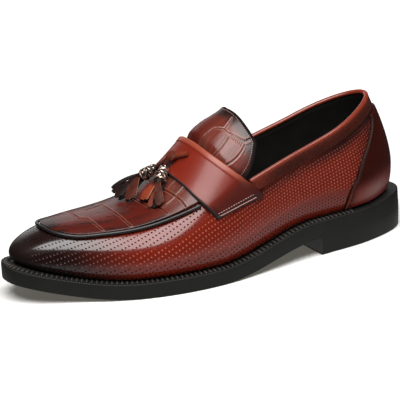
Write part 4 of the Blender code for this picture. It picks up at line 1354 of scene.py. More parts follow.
def build_apron(sizes):
    """Embossed panel over the vamp, with its large creases pressed in."""
    tip = SEAM_TIP - APRON_TIP_INSET
    along = toe_run(APRON_BACK, tip, 220, 40)
    columns = even_shares(140, APRON_EDGE) * 2 - 1
    across = seam_places(along, APRON_INSET, tip)[:, None] * columns
    grid_along = np.broadcast_to(along[:, None], across.shape)
    scales = (LAST_LENGTH, VAMP_GIRTH)
    crease, rim = crease_depth(grid_along, across, APRON_CREASES, APRON_CREASE_WIDTH, scales)
    thick = APRON_THICK * mix(APRON_EDGE_THICK, 1, round_edge((columns + 1) / 2, APRON_EDGE))
    lift = APRON_LIFT + thick - sizes.crease_depth * (crease - CREASE_RIM * rim)
    u = station(along)[:, None]
    toe = smooth(*APRON_TOE_SHADE, grid_along) * APRON_TOE_DEPTH
    sides = smooth(*APRON_SIDE_SHADE, np.abs(columns)) * APRON_SIDE_DEPTH
    piece = Piece()
    piece.add_slab(
        lifted(u, across, lift),
        lifted(u, across, APRON_LIFT),
        crease=crease,
        rim=rim,
        grain_place=grain_place(grid_along, across),
        burnish=np.maximum(toe, sides),
        # Painted highlight next to the strap.
        bloom=(1 - smooth(*APRON_SHEEN, grid_along)) * APRON_SHEEN_DEPTH,
    )
    settle(piece.make("apron_leather", "embossed_leather"), "embossed_leather", "apron")


def build_piping(sizes):
    """Black cord along the apron's seam, from the strap round the toe and back."""
    along = toe_run(PIPING_BACK, SEAM_TIP, 120, 60)
    half = seam_places(along)
    line_along = np.concatenate((along, along[-2::-1]))
    line_across = np.concatenate((-half, half[-2::-1]))
    line = skin(station(line_along), line_across)
    along, across = evenly(line, PIPING_SPACING, line_along, line_across)
    u = station(along)
    points = lifted(u, across, sizes.piping_radius + GAP)
    piece = Piece()
    piece.add_sweep(tube(points, skin_normal(u, across), sizes.piping_radius, 14))
    settle(piece.make("seam_piping", "piping_leather"), "piping_leather", "piping")


def strap_lift(across):
    """Underside of the strap: over the apron in the middle, down on the upper at the sides."""
    return mix(APRON_LIFT + APRON_THICK + GAP, GAP, smooth(*STRAP_EASE, np.abs(across)))


def strap_place(row, back):
    """Place along and across on the strap, at a share out from its middle and a share from front to back."""
    across = row * mix(STRAP_END_FRONT, STRAP_END_BACK, back)
    along = mix(STRAP_FRONT(np.abs(across)), STRAP_BACK(np.abs(across)), back)
    return along, across


def build_strap(sizes):
    """Saddle strap: folded back edge, cut front edge, and a groove beside each stitched end."""
    shares = (even_shares(240, STRAP_END_EDGE) * 2 - 1, even_shares(60, STRAP_SIDE_EDGE))
    row, back = np.meshgrid(*shares, indexing="ij")
    along, across = strap_place(row, back)
    rounded = round_edge(back, STRAP_SIDE_EDGE) * round_edge((row + 1) / 2, STRAP_END_EDGE)
    from_end = (1 - np.abs(row)) * STRAP_HALF_LENGTH
    groove = bell(from_end - STRAP_GROOVE, STRAP_GROOVE_WIDTH)
    under = strap_lift(across)
    thick = sizes.strap_thick * mix(STRAP_EDGE_THICK, 1, rounded)
    fold = smooth(*STRAP_FOLD, back) * sizes.strap_fold
    u = station(along)
    ends = smooth(*STRAP_DARK_ENDS, np.abs(across)) * STRAP_DARK_DEPTH
    corner = bell(from_end, STRAP_CORNER[0]) * bell(back, STRAP_CORNER[1]) * STRAP_CORNER_DEPTH
    cut = np.maximum(1 - smooth(*STRAP_FRONT_CUT, back), 1 - smooth(*STRAP_END_CUT, from_end))
    piece = Piece()
    piece.add_slab(
        lifted(u, across, under + thick + fold - groove * STRAP_GROOVE_DEPTH),
        lifted(u, across, under),
        # Painted shade in the grooves; dark cut edges; darker ends and corners.
        burnish=np.maximum.reduce((ends, corner, cut, groove)),
        dull=np.maximum(cut, groove * GROOVE_DULL) * STRAP_DULL,
        # Painted highlight along the fold.
        bloom=smooth(*STRAP_SHEEN, back) * smooth(*STRAP_SHEEN_ENDS, from_end) * STRAP_SHEEN_DEPTH,
    )
    settle(piece.make("saddle_strap", "strap_leather"), "burnished_leather", "strap")


def tongue_half(share):
    """Half width of the tongue as a share across, at a share up it."""
    wide = mix(TONGUE_ROOT_HALF, TONGUE_HALF, smooth(0.0, TONGUE_WIDEST, share))
    corner = np.maximum(0.0, (share - TONGUE_WIDEST) / (1 - TONGUE_WIDEST)) ** TONGUE_CORNER
    return mix(wide, TONGUE_TOP_HALF, corner)


def tongue_place(share, column):
    """Place along and across on the tongue, and the lift of its top face."""
    along = mix(TONGUE_ROOT, TONGUE_TOP - TONGUE_EARS * np.abs(column) ** TONGUE_EAR_POWER, share)
    across = column * tongue_half(share)
    risen = smooth(TONGUE_RISE_START, TONGUE_RISE_REACH, throat_along(across) - along)
    droop = TONGUE_DROOP * smooth(TONGUE_DROOP_START, 1.0, share)
    over = np.clip((share - TONGUE_BULGE_START) / (1 - TONGUE_BULGE_START), 0, 1)
    bulge = TONGUE_BULGE * np.sin(math.pi * over)
    return along, across, mix(-TONGUE_BURIED, TONGUE_RISE, risen) + (bulge - droop) * (1 - column**2)


def tongue_creases():
    """Creases of the tongue on both of its sides, with fine ticks before its cross crease."""
    creases = [(np.array(points) * (1, side), depth) for side in (1, -1) for points, depth in TONGUE_CREASES]
    line = np.abs(TONGUE_CREASES[TICKED_CREASE][0])
    for side in (1, -1):
        for column in np.linspace(*TICK_COLUMNS, TICK_COUNT):
            up = np.interp(-column, line[:, 1], line[:, 0])
            ends = [(up - run, side * column) for run in TICK_RUN]
            creases.append((ends, TICK_DEPTH))
    return creases


def build_tongue(sizes):
    """Embossed tongue with a bound edge."""
    share, column = np.meshgrid(np.linspace(0, 1, 170), np.linspace(-1, 1, 200), indexing="ij")
    along, across, lift = tongue_place(share, column)
    crease, rim = crease_depth(share, column, tongue_creases(), TONGUE_CREASE_WIDTH, TONGUE_SPAN)
    pressed = sizes.crease_depth * TONGUE_CREASE_SHARE * (crease - CREASE_RIM * rim)
    u = station(along)
    sides = smooth(*TONGUE_SIDE_SHADE, np.abs(column)) * TONGUE_SIDE_DEPTH
    bloom = (1 - smooth(*TONGUE_SHEEN_SIDES, np.abs(column))) * (1 - smooth(*TONGUE_SHEEN_TOP, share))
    piece = Piece()
    piece.add_slab(
        lifted(u, across, lift - pressed),
        lifted(u, across, lift - sizes.tongue_thick),
        crease=crease,
        rim=rim,
        grain_place=grain_place(along, across),
        burnish=np.maximum(sides, smooth(*TONGUE_TOP_SHADE, share)) - TONGUE_PALER,
        # Painted highlight on the outer half.
        bloom=bloom * (1 - smooth(*TONGUE_SHEEN_OUTSIDE, column)) * TONGUE_SHEEN_DEPTH,
    )
    settle(piece.make("tongue_leather", "embossed_leather"), "embossed_leather", "tongue")

    up = np.linspace(BINDING_START, 1, 60)
    over = np.linspace(-1, 1, 80)[1:-1]
    share = np.concatenate((up, np.ones(len(over)), up[::-1]))
    column = np.concatenate((-np.ones(len(up)), over, np.ones(len(up))))
    along, across, lift = tongue_place(share, column)
    u = station(along)
    points = lifted(u, across, lift - sizes.tongue_thick / 2)
    *points, u, across = evenly(points, BINDING_SPACING, *points.T, u, across)
    binding = Piece()
    radius = sizes.tongue_thick * BINDING_RADIUS
    binding.add_sweep(tube(np.stack(points, -1), skin_normal(u, across), radius, 12))
    settle(binding.make("tongue_binding", "binding_leather"), "piping_leather")


# Collar and counter


def collar_depth(u):
    """Outer leg of the binding, cut short where it meets the strap's slanted end."""
    along = along_of(u)
    top = topline(u)
    across = np.linspace(0, STRAP_END_BACK, 400)
    strap = np.interp(-along, -STRAP_BACK(across), across)
    room = (strap - top) * girth_rate(u, top) - COLLAR_CLEAR
    return np.where(along < STRAP_BACK(STRAP_END_BACK), COLLAR_DEPTH, np.minimum(COLLAR_DEPTH, room))


def build_collar(sizes):
    """Rolled edge round the mouth, over a plain band outside and a short leg inside."""
    end = float(station(COLLAR_END))
    half = end * spread_evenly(skin(np.linspace(0, end, 300), -0.5), COLLAR_SPACING)
    u = np.concatenate((half[::-1], half[1:]))
    side = np.concatenate((-np.ones(len(half)), np.ones(len(half) - 1)))
    depth = collar_depth(u)
    roll = sizes.collar_roll
    level = np.ones(u.shape)
    paler = 1 - smooth(*COLLAR_PALER, along_of(u)) * COLLAR_PALER_DEPTH
    rows = []
    for share, lift in COLLAR_BAND:
        shade = mix(*COLLAR_BAND_SHADES, smooth(*COLLAR_BAND_EASE, share))
        rows.append((depth * share, lift, shade * paler))
    for turn in np.linspace(*COLLAR_BEAD_TURN, 17):
        down = -roll * COLLAR_BEAD_RAISE - roll * math.sin(turn)
        lift = (roll + COLLAR_BEAD_FULL) * math.cos(turn) - WALL / 2
        rows.append((down, lift, COLLAR_BEAD_SHADE * smooth(-0.5 * roll, 0.4 * roll, down) * level))
    for down, lift in COLLAR_LEG:
        rows.append((down, lift, level))
    sections = [lifted(u, side * below_topline(u, down), lift) for down, lift, shade in rows]
    piece = Piece()
    piece.add_sweep(np.stack(sections, 1), burnish=np.stack([row[2] for row in rows], 1))
    settle(piece.make("collar_binding", "collar_leather"), "collar_leather", "collar")


def counter_across(u, down):
    """Share across at a share down the counter, from under the collar to the welt."""
    return mix(below_topline(u, COLLAR_DEPTH + 2 * GAP), COUNTER_FOOT, down)


def build_counter(sizes):
    """Panel round the heel, with a folded front edge and a seam groove beside it."""
    down = even_shares(60, COUNTER_TOP_EDGE)[:, None]
    columns = even_shares(110, COUNTER_FRONT_EDGE) * 2 - 1
    u = np.abs(columns) * station(COUNTER_FRONT(down))
    across = np.where(columns > 0, 1.0, -1.0) * counter_across(u, down)
    from_edge = (1 - np.abs(columns))[None] * COUNTER_HALF_LENGTH
    rounded = round_edge((columns + 1) / 2, COUNTER_FRONT_EDGE) * round_edge(down, COUNTER_TOP_EDGE)
    groove = bell(from_edge - COUNTER_GROOVE, COUNTER_GROOVE_WIDTH)
    thick = sizes.counter_thick * mix(COUNTER_EDGE_THICK, 1, rounded)
    upper_part = 1 - smooth(*COUNTER_DARK_TOP, down)
    cut = 1 - smooth(*COUNTER_CUT, from_edge)
    beside = bell(np.maximum(from_edge - COUNTER_GROOVE, 0), COUNTER_SHADE_REACH)
    beside = beside * smooth(*COUNTER_SHADE_START, from_edge) * COUNTER_SHADE_DEPTH
    # Painted reflection of the floor in a patch low on the counter, and a faint painted sheen on the fold.
    sheen_patch = bell(along_of(u) - COUNTER_SHEEN_PLACE[0], COUNTER_SHEEN_REACH[0])
    sheen_patch = sheen_patch * bell(down - COUNTER_SHEEN_PLACE[1], COUNTER_SHEEN_REACH[1]) * COUNTER_SHEEN_DEPTH
    folded = (1 - smooth(*COUNTER_FOLD, from_edge)) * (1 - cut) * COUNTER_FOLD_SHEEN
    # Darker at the top and beside the seam, dark at the cut edge, painted shade in the groove.
    shades = np.broadcast_arrays(mix(*COUNTER_SHADES, upper_part), cut, groove, beside)
    piece = Piece()
    piece.add_slab(
        lifted(u, across, GAP * rounded + thick - groove * COUNTER_GROOVE_DEPTH),
        lifted(u, across, COUNTER_UNDER),
        burnish=np.maximum.reduce(shades),
        dull=np.maximum(1 - smooth(*COUNTER_DULL, from_edge), groove) * GROOVE_DULL,
        bloom=np.maximum(sheen_patch * smooth(*COUNTER_SHEEN_START, from_edge), folded),
    )
    settle(piece.make("heel_counter_leather", "counter_leather"), "burnished_leather", "heel_counter")


# Sole


def sole_ring(u, rows):
    """Closed sections across the sole from (margin, height) rows down its side."""
    outer = [outline(u, 1, margin, height) for margin, height in rows]
    inner = [outline(u, -1, margin, height) for margin, height in rows[::-1]]
    return np.stack(outer + inner, 1)


def bevelled(margin, height, bevel):
    """Rows that turn the side of a sole under to its tread."""
    return [(margin - share * bevel, height + rise * bevel) for share, rise in ((0, 1), (0.3, 0.3), (1, 0))]


def build_sole(sizes):
    """Outsole, heel block and welt in moulded rubber, with the welt's ribs."""
    u = np.linspace(0, 1, 161)
    along = along_of(u)
    bevel = sizes.sole_bevel * smooth(BREAST, BREAST + BREAST_EASE, along)
    margin = welt_margin(u)
    rows = [(margin, welt_height(along) - WELT_THICK)] + bevelled(margin, tread_height(along), bevel)
    bare = smooth(BREAST, BREAST + TREAD_EASE, along)[:, None]
    piece = Piece()
    piece.add_sweep(sole_ring(u, rows), tread=bare * np.array(TREAD_RING))
    settle(piece.make("outsole_rubber", "sole_rubber", EDGE_SHARP), "sole_rubber", "outsole")

    u = np.linspace(0, float(station(BREAST)), 81)
    margin = welt_margin(u)
    rows = [(margin, HEEL_BLOCK)] + bevelled(margin - HEEL_TAPER, 0.0, sizes.sole_bevel)
    piece = Piece()
    piece.add_sweep(sole_ring(u, rows), tread=TREAD_RING)
    settle(piece.make("heel_rubber", "sole_rubber", EDGE_SHARP), "sole_rubber", "heel")

    half = np.linspace(0, 1, 161)
    u = np.concatenate((half, half[-2:0:-1]))
    side = np.concatenate((np.ones(len(half)), -np.ones(len(half) - 2)))
    top = welt_height(along_of(u))
    rim = welt_margin(u)
    lip = sizes.welt_lip
    floor = top - sizes.rib_channel
    corners = [(-WELT_UNDERLAP, floor)]
    for turn in np.linspace(0, math.pi / 2, 6):
        corners.append((rim - lip * (1 - math.sin(turn)), floor - lip * (1 - math.cos(turn))))
    corners += [(rim, top - WELT_THICK), (-WELT_UNDERLAP, top - WELT_THICK)]
    piece = Piece()
    piece.add_sweep(np.stack([outline(u, side, *corner) for corner in corners], 1), closed=True)
    settle(piece.make("welt_rubber", "sole_rubber", ROUND_SHARP), "sole_rubber", "welt")

    path = outline(u, side, rim - sizes.rib_length * 0.5, top - sizes.rib_height * RIB_SUNK)
    ribs = [path[along_of(u) > RIB_START]]
    size = (sizes.rib_pitch, sizes.rib_length, sizes.rib_width, sizes.rib_height)
    settle(beads_along("welt_ribs", ribs, *size, "rib_rubber", True), "sole_rubber")


def build_insole():
    """Sock lining over the insole board."""
    u = np.linspace(0, 1, 101)
    welt = welt_height(along_of(u))
    rows = [(-INSOLE_INSET - inset, welt + rise) for inset, rise in INSOLE_EDGE]
    piece = Piece()
    piece.add_sweep(sole_ring(u, rows))
    settle(piece.make("sock_lining", "insole_leather", ROUND_SHARP), "insole_leather", "insole")


# Tassels


def surface_frame(along, across, lift):
    """Point off the skin, with the directions forward, outward across and up there."""
    u = station(along)
    step = 0.004
    forward = unit(skin(u + step, across) - skin(u - step, across))
    up = skin_normal(u, across)
    return lifted(u, across, lift), forward, unit(np.cross(up, forward)), up


def cap_axis(side):
    """Top of a cap and its directions: down its axis, sideways and up. side is 1 outside, -1 inside."""
    top, forward, sideways, up = surface_frame(*CAP_PLACES[side], CAP_LIFT)
    axis = unit(math.cos(CAP_TURN) * forward + side * math.sin(CAP_TURN) * sideways)
    return top, axis, unit(np.cross(up, axis)), up


def build_cap(side, name, sizes):
    """Turned cap with a pierced scroll pattern standing out of dark recesses."""
    top, axis, sideways, up = cap_axis(side)
    profile = np.array(CAP) * MM
    rows = np.linspace(0, CAP_LENGTH, 64)
    radius = np.interp(rows, profile[:, 0], profile[:, 1])
    turn = np.linspace(0, 2 * math.pi, 120, endpoint=False)[None]
    share = (rows / CAP_LENGTH)[:, None]
    wind = np.sin(SCROLL_TURNS * turn + SCROLL_WIND * np.sin(2 * math.pi * share * SCROLL_WAVES))
    weave = np.sin(2 * math.pi * share * SCROLL_ROWS + SCROLL_WEAVE * np.sin(SCROLL_TURNS / 2 * turn))
    bands = np.maximum(*[bell(share - place, CAP_BAND_WIDTH) for place in CAP_BANDS])
    relief = np.clip(np.maximum(0.5 + SCROLL_DEPTH * wind * weave, bands), 0, 1)
    relief = mix(CAP_TOP_RELIEF, relief, smooth(0.0, CAP_TOP_REACH, share))
    out = radius[:, None] - sizes.cap_relief * (1 - relief)
    ring = np.cos(turn)[..., None] * sideways + np.sin(turn)[..., None] * up
    piece = Piece()
    piece.add_sweep(top + rows[:, None, None] * axis + out[..., None] * ring, relief=relief)
    settle(piece.make("cap_" + name, "antique_bronze"), "antique_bronze", "tassel_cap_" + name)


def strip_shape(start, row, sizes):
    """Sections of a flat bent strip from a cap's mouth to its chamfered tip, with its pale edges and its
    painted shade, darker near the cap.
    """
    along, across, lift, roll, width, shade = row
    tip, _, _, up = surface_frame(along, across, lift * MM)
    share = np.concatenate((np.linspace(0, 0.85, 14), np.linspace(0.85, 1.0, 7)[1:]))
    rise = up * np.linalg.norm(tip - start) * STRIP_RISE
    points = mix(start, tip, share[:, None]) + rise * (4 * share * (1 - share))[:, None]
    run = unit(np.gradient(points, axis=0))
    over = unit(np.cross(up, run))
    turn = (math.radians(roll) * share)[:, None]
    flat = np.cos(turn) * over + np.sin(turn) * np.cross(run, over)
    normal = np.cross(run, flat)
    half = mix(sizes.strip_root, width * MM, smooth(*STRIP_WIDENS, share)) / 2
    left, right = [half * (1 - cut * smooth(*STRIP_CHAMFER, share)) for cut in STRIP_CUTS]
    sections = []
    edge = []
    for x, y in STRIP_CORNERS:
        wide = (left if x > 0 else right) * x
        sections.append(points + wide[:, None] * flat + sizes.strip_thick / 2 * y * normal)
        edge.append(1.0 - STRIP_EDGE_SHADE * shade if abs(x) == 1 else 0.0)
    dark = np.maximum(shade, STRIP_ROOT_SHADE * (1 - smooth(*STRIP_ROOT_FADE, share)))
    return np.stack(sections, 1), np.array(edge), dark[:, None]


def build_fringe(side, name, strips, sizes):
    """Bundle of leather strips under a cap."""
    top, axis, sideways, up = cap_axis(side)
    mouth = CAP_LENGTH + GAP
    angle = np.linspace(0, 2 * math.pi, 24, endpoint=False)[:, None]
    ring = np.cos(angle) * sideways + np.sin(angle) * up
    plug = [top + (mouth + PLUG_LENGTH * part) * axis + PLUG_RADIUS * wide * ring for part, wide in PLUG]
    piece = Piece()
    piece.add_sweep(np.stack(plug), burnish=PLUG_SHADE, edge=0.0)
    root = top + (mouth + PLUG_LENGTH * STRIP_ROOT_DEPTH) * axis
    for i, row in enumerate(strips):
        spread = (i / (len(strips) - 1) - 0.5) * side * PLUG_RADIUS
        layer = (0.5 if i % 2 else -0.5) * PLUG_RADIUS
        sections, edge, burnish = strip_shape(root + spread * sideways + layer * up, row, sizes)
        piece.add_sweep(sections, edge=edge, burnish=burnish)
    fringe = piece.make("fringe_" + name, "tassel_leather", EDGE_SHARP)
    settle(fringe, "tassel_leather", "tassel_fringe_" + name)


def build_lace(sizes):
    """Knotted lace over the strap: a wrapped knot, a cord to each cap and one loose tail."""
    centre, forward, sideways, up = surface_frame(KNOT_PLACE, KNOT_ACROSS, KNOT_LIFT)
    turn = np.linspace(0, math.pi, 25)[:, None, None]
    angle = np.linspace(0, 2 * math.pi, 48, endpoint=False)[:, None]
    wrap = 1 + KNOT_WRAPS * np.cos(3 * turn) + KNOT_TWIST * np.sin(2 * angle + 4 * turn)
    body = np.cos(turn) * np.ones(angle.shape) * sideways * KNOT_HALF[1]
    body = body + np.sin(turn) * np.cos(angle) * wrap * forward * KNOT_HALF[0]
    body = body + np.sin(turn) * np.sin(angle) * wrap * up * KNOT_HALF[2]
    piece = Piece()
    piece.add_sweep(centre + body, burnish=KNOT_SHADE, edge=0.0)
    ends = []
    for side in (1, -1):
        top, axis, _, cap_up = cap_axis(side)
        ends.append((top - GAP * axis, top - LACE_LEAD * axis, cap_up, LACE_SHADE))
    tail, _, _, tail_up = surface_frame(TAIL_PLACE, TAIL_ACROSS, TAIL_LIFT)
    ends.append((tail, mix(centre, tail, TAIL_LEAD), tail_up, TAIL_SHADE))
    at = np.linspace(0, 1, 16)
    edge = np.array([1.0 if abs(x) == 0.5 else 0.0 for x, y in LACE_SECTION])
    for end, lead, end_up, dark in ends:
        knots = np.stack((centre, mix(centre, lead, 0.5), lead, end))
        points = np.stack([np.interp(at, np.linspace(0, 1, 4), column) for column in knots.T], -1)
        run = unit(np.gradient(points, axis=0))
        over = unit(np.cross(run, unit(mix(up, end_up, at[:, None]))))
        wide = sizes.lace_width * over
        thick = sizes.lace_thick * np.cross(over, run)
        sections = [points + x * wide + y * thick for x, y in LACE_SECTION]
        piece.add_sweep(np.stack(sections, 1), burnish=dark, edge=edge * (1 - dark))
    settle(piece.make("tassel_knot", "tassel_leather", KNOT_SHARP), "tassel_leather", "tassel_lace")


# Stitching


def build_stitching(sizes):
    """Stitch rows on the strap's ends, beside the counter's front edge and round the tongue."""
    thread = (sizes.stitch_length, sizes.stitch_width, sizes.stitch_width)
    back = np.linspace(*STRAP_STITCHED, 40)
    rows = {STRAP_STITCHES: [], STRAP_CORD: []}
    for side in (-1, 1):
        for inset, row in rows.items():
            along, across = strap_place(np.full(back.shape, side * (1 - inset / STRAP_HALF_LENGTH)), back)
            row.append(lifted(station(along), across, strap_lift(across) + sizes.strap_thick))
    stitches = beads_along("strap_stitches", rows[STRAP_STITCHES], sizes.stitch_pitch, *thread, "pale_thread")
    settle(stitches, "burnished_leather")
    cord = beads_along("strap_edge_cord", rows[STRAP_CORD], sizes.stitch_width, *thread, "pale_thread")
    settle(cord, "burnished_leather")

    down = np.linspace(*COUNTER_STITCHED, 80)
    rows = []
    for side in (-1, 1):
        for inset in COUNTER_STITCHES:
            u = station(COUNTER_FRONT(down)) * (1 - inset / COUNTER_HALF_LENGTH)
            rows.append(lifted(u, side * counter_across(u, down), GAP + sizes.counter_thick))
    stitches = beads_along("counter_stitches", rows, sizes.stitch_pitch, *thread, "dark_thread")
    settle(stitches, "burnished_leather")

    up = np.linspace(*TONGUE_STITCHED, 60)
    over = np.linspace(-TONGUE_STITCH_TOP, TONGUE_STITCH_TOP, 90)
    sides = np.full(len(up), TONGUE_STITCH_SIDE)
    share = np.concatenate((up, np.full(len(over), TONGUE_STITCHED[1]), up[::-1]))
    along, across, lift = tongue_place(share, np.concatenate((-sides, over, sides)))
    rows = [lifted(station(along), across, lift + TONGUE_STITCH_LIFT)]
    settle(beads_along("tongue_stitches", rows, *TONGUE_STITCH, "pale_thread"), "piping_leather")


# Stage


def add_light(name, place, target, size, power, tone):
    """Soft rectangular light at a place, turned to a target."""
    lamp = bpy.data.lights.new(name, "AREA")
    lamp.shape = "RECTANGLE"
    lamp.size, lamp.size_y = size
    lamp.energy = power
    lamp.color = tone
    made = add_object(name, lamp)
    made.location = place
    made.rotation_euler = (target - place).to_track_quat("-Z", "Y").to_euler()


def add_sheet(name, points, finish):
    """One flat face of the stage."""
    mesh = bpy.data.meshes.new(name)
    mesh.from_pydata(points, [], [list(range(len(points)))])
    mesh.materials.append(finish.material)
    return add_object(name, mesh)


def add_floor(stage):
    """Pale paper that glows away from the shoe, so that only the shadow beside it shows."""
    finish = Finish("floor_paper", Roughness=0.9, Specular_IOR_Level=0.1)
    spotted = [0.97 * part for part in stage.floor_colour]
    finish.set(Base_Color=finish.tint(finish.noise(3.0, 2.0) * 0.3, stage.floor_colour, spotted))
    glow = finish.ease(finish.away(), *stage.glow_reach)
    finish.set(Emission_Color=finish.tint(glow, stage.shadow_tone, WHITE), Emission_Strength=stage.floor_glow)
    half = stage.floor_size / 2
    corners = [(-half, -half, 0), (half, -half, 0), (half, half, 0), (-half, half, 0)]
    floor = add_sheet("floor", corners, finish)
    floor.visible_glossy = False


def add_bounce(stage):
    """Floor close to the shoe as its gloss sees it: a pale disc that shows in reflections alone."""
    radius = stage.bounce_radius
    finish = Finish("bounce_paper", Roughness=1.0)
    fade = 1 - finish.ease(finish.away(), radius * 0.5, radius)
    finish.set(Base_Color=BLACK, Emission_Strength=stage.bounce_light)
    finish.set(Emission_Color=finish.tint(fade, BLACK, WHITE))
    angles = np.linspace(0, 2 * math.pi, 64, endpoint=False)
    ring = [(radius * math.cos(angle), radius * math.sin(angle), -BOUNCE_DROP) for angle in angles]
    disc = add_sheet("floor_bounce", ring, finish)
    disc.visible_camera = False
    disc.visible_diffuse = False
    disc.visible_shadow = False


def add_camera(stage):
    """Camera at the photograph's angle."""
    azimuth, tilt, roll = stage.camera_azimuth, stage.camera_tilt, stage.camera_roll
    out = math.cos(tilt)
    back = Vector((math.sin(azimuth) * out, math.cos(azimuth) * out, math.sin(tilt)))
    right = Vector((-math.cos(azimuth), math.sin(azimuth), 0))
    up = back.cross(right)
    level = right * math.cos(roll) + up * math.sin(roll)
    rise = up * math.cos(roll) - right * math.sin(roll)
    target = Vector(stage.camera_target) + level * stage.frame_offset[0] + rise * stage.frame_offset[1]
    lens = bpy.data.cameras.new("camera")
    lens.lens = stage.camera_lens
    lens.sensor_width = SENSOR_WIDTH
    lens.clip_end = VIEW_END
    camera = add_object("camera", lens)
    camera.matrix_world = Matrix((level, rise, back)).transposed().to_4x4()
    camera.location = target + back * stage.camera_distance
    bpy.context.scene.camera = camera


def build_stage(stage):
    """Pale floor, soft light and the camera."""
    add_floor(stage)
    add_bounce(stage)
    world = bpy.data.worlds.new("studio")
    world.use_nodes = True
    backdrop = world.node_tree.nodes["Background"]
    backdrop.inputs["Color"].default_value = (*WHITE, 1)
    backdrop.inputs["Strength"].default_value = stage.world_light
    bpy.context.scene.world = world
    key = Vector(stage.key_place)
    add_light("overhead_softbox", key, key - Vector((0, 0, 1)), stage.key_size, stage.key_power, KEY_TONE)
    back = Vector(stage.back_place)
    add_light("back_softbox", back, Vector(BACK_TARGET), stage.back_size, stage.back_power, WHITE)
    bpy.context.scene.view_settings.view_transform = "Standard"
    add_camera(stage)


# Add-on


def number(name, default, description, **more):
    return bpy.props.FloatProperty(name=name, description=description, default=default, **more)


def vector(name, default, description, **more):
    more["size"] = len(default)
    return bpy.props.FloatVectorProperty(name=name, description=description, default=default, **more)


def length(name, default, description):
    return number(name, default, description, unit="LENGTH", precision=5)


def angle(name, degrees, description):
    return number(name, math.radians(degrees), description, unit="ROTATION")


def power(name, default, description):
    return number(name, default, description, unit="POWER")


def lengths_of(name, default, description):
    return vector(name, default, description, unit="LENGTH")


def colour(name, default, description):
    return vector(name, default, description, subtype="COLOR", min=0, max=1)


class LoaferSizes(bpy.types.PropertyGroup):
    """Sizes of the leather work and the sole's trim."""

    upper_spacing: length("Upper mesh spacing", 1.0 * MM, "Distance between the upper's vertices")
    dimple_depth: length("Dimple depth", 0.55 * MM, "Depth of the pressed dimples")
    dimple_radius: length("Dimple radius", 0.74 * MM, "Radius of the pressed dimples")
    crease_depth: length("Crease depth", 0.55 * MM, "Depth of the creases in the embossed leather")
    piping_radius: length("Piping radius", 1.3 * MM, "Radius of the cord along the apron's seam")
    strap_thick: length("Strap thickness", 1.6 * MM, "Thickness of the strap")
    strap_fold: length("Strap fold", 0.35 * MM, "Height of the fold along the strap's back edge")
    tongue_thick: length("Tongue thickness", 2.6 * MM, "Thickness of the padded tongue")
    collar_roll: length("Collar roll", 1.6 * MM, "Radius of the rolled collar edge")
    counter_thick: length("Counter thickness", 1.2 * MM, "Thickness of the heel counter")
    sole_bevel: length("Sole edge bevel", 0.9 * MM, "Bevel along the tread's edge")
    tread_pitch: length("Tread pitch", 4.0 * MM, "Spacing of the fine bars under the sole and heel")
    welt_lip: length("Welt lip", 0.6 * MM, "Radius of the welt's upper edge")
    rib_channel: length("Rib channel", 0.6 * MM, "Depth of the channel that the welt's ribs stand in")
    rib_pitch: length("Welt rib pitch", 3.5 * MM, "Distance between the welt's ribs")
    rib_length: length("Welt rib length", 6.2 * MM, "Length of a welt rib")
    rib_width: length("Welt rib width", 2.1 * MM, "Width of a welt rib")
    rib_height: length("Welt rib height", 3.2 * MM, "Thickness of a welt rib")
    cap_relief: length("Cap relief", 0.55 * MM, "Depth of the tassel caps' pattern")
    strip_root: length("Strip root width", 4.0 * MM, "Width of a tassel strip at its cap")
    strip_thick: length("Strip thickness", 1.2 * MM, "Thickness of a tassel strip")
    lace_width: length("Lace width", 3.6 * MM, "Width of the tassel lace")
    lace_thick: length("Lace thickness", 2.0 * MM, "Thickness of the tassel lace")
    stitch_pitch: length("Stitch pitch", 2.1 * MM, "Distance between stitches")
    stitch_length: length("Stitch length", 1.6 * MM, "Length of a stitch")
    stitch_width: length("Stitch width", 0.55 * MM, "Width of a stitch")


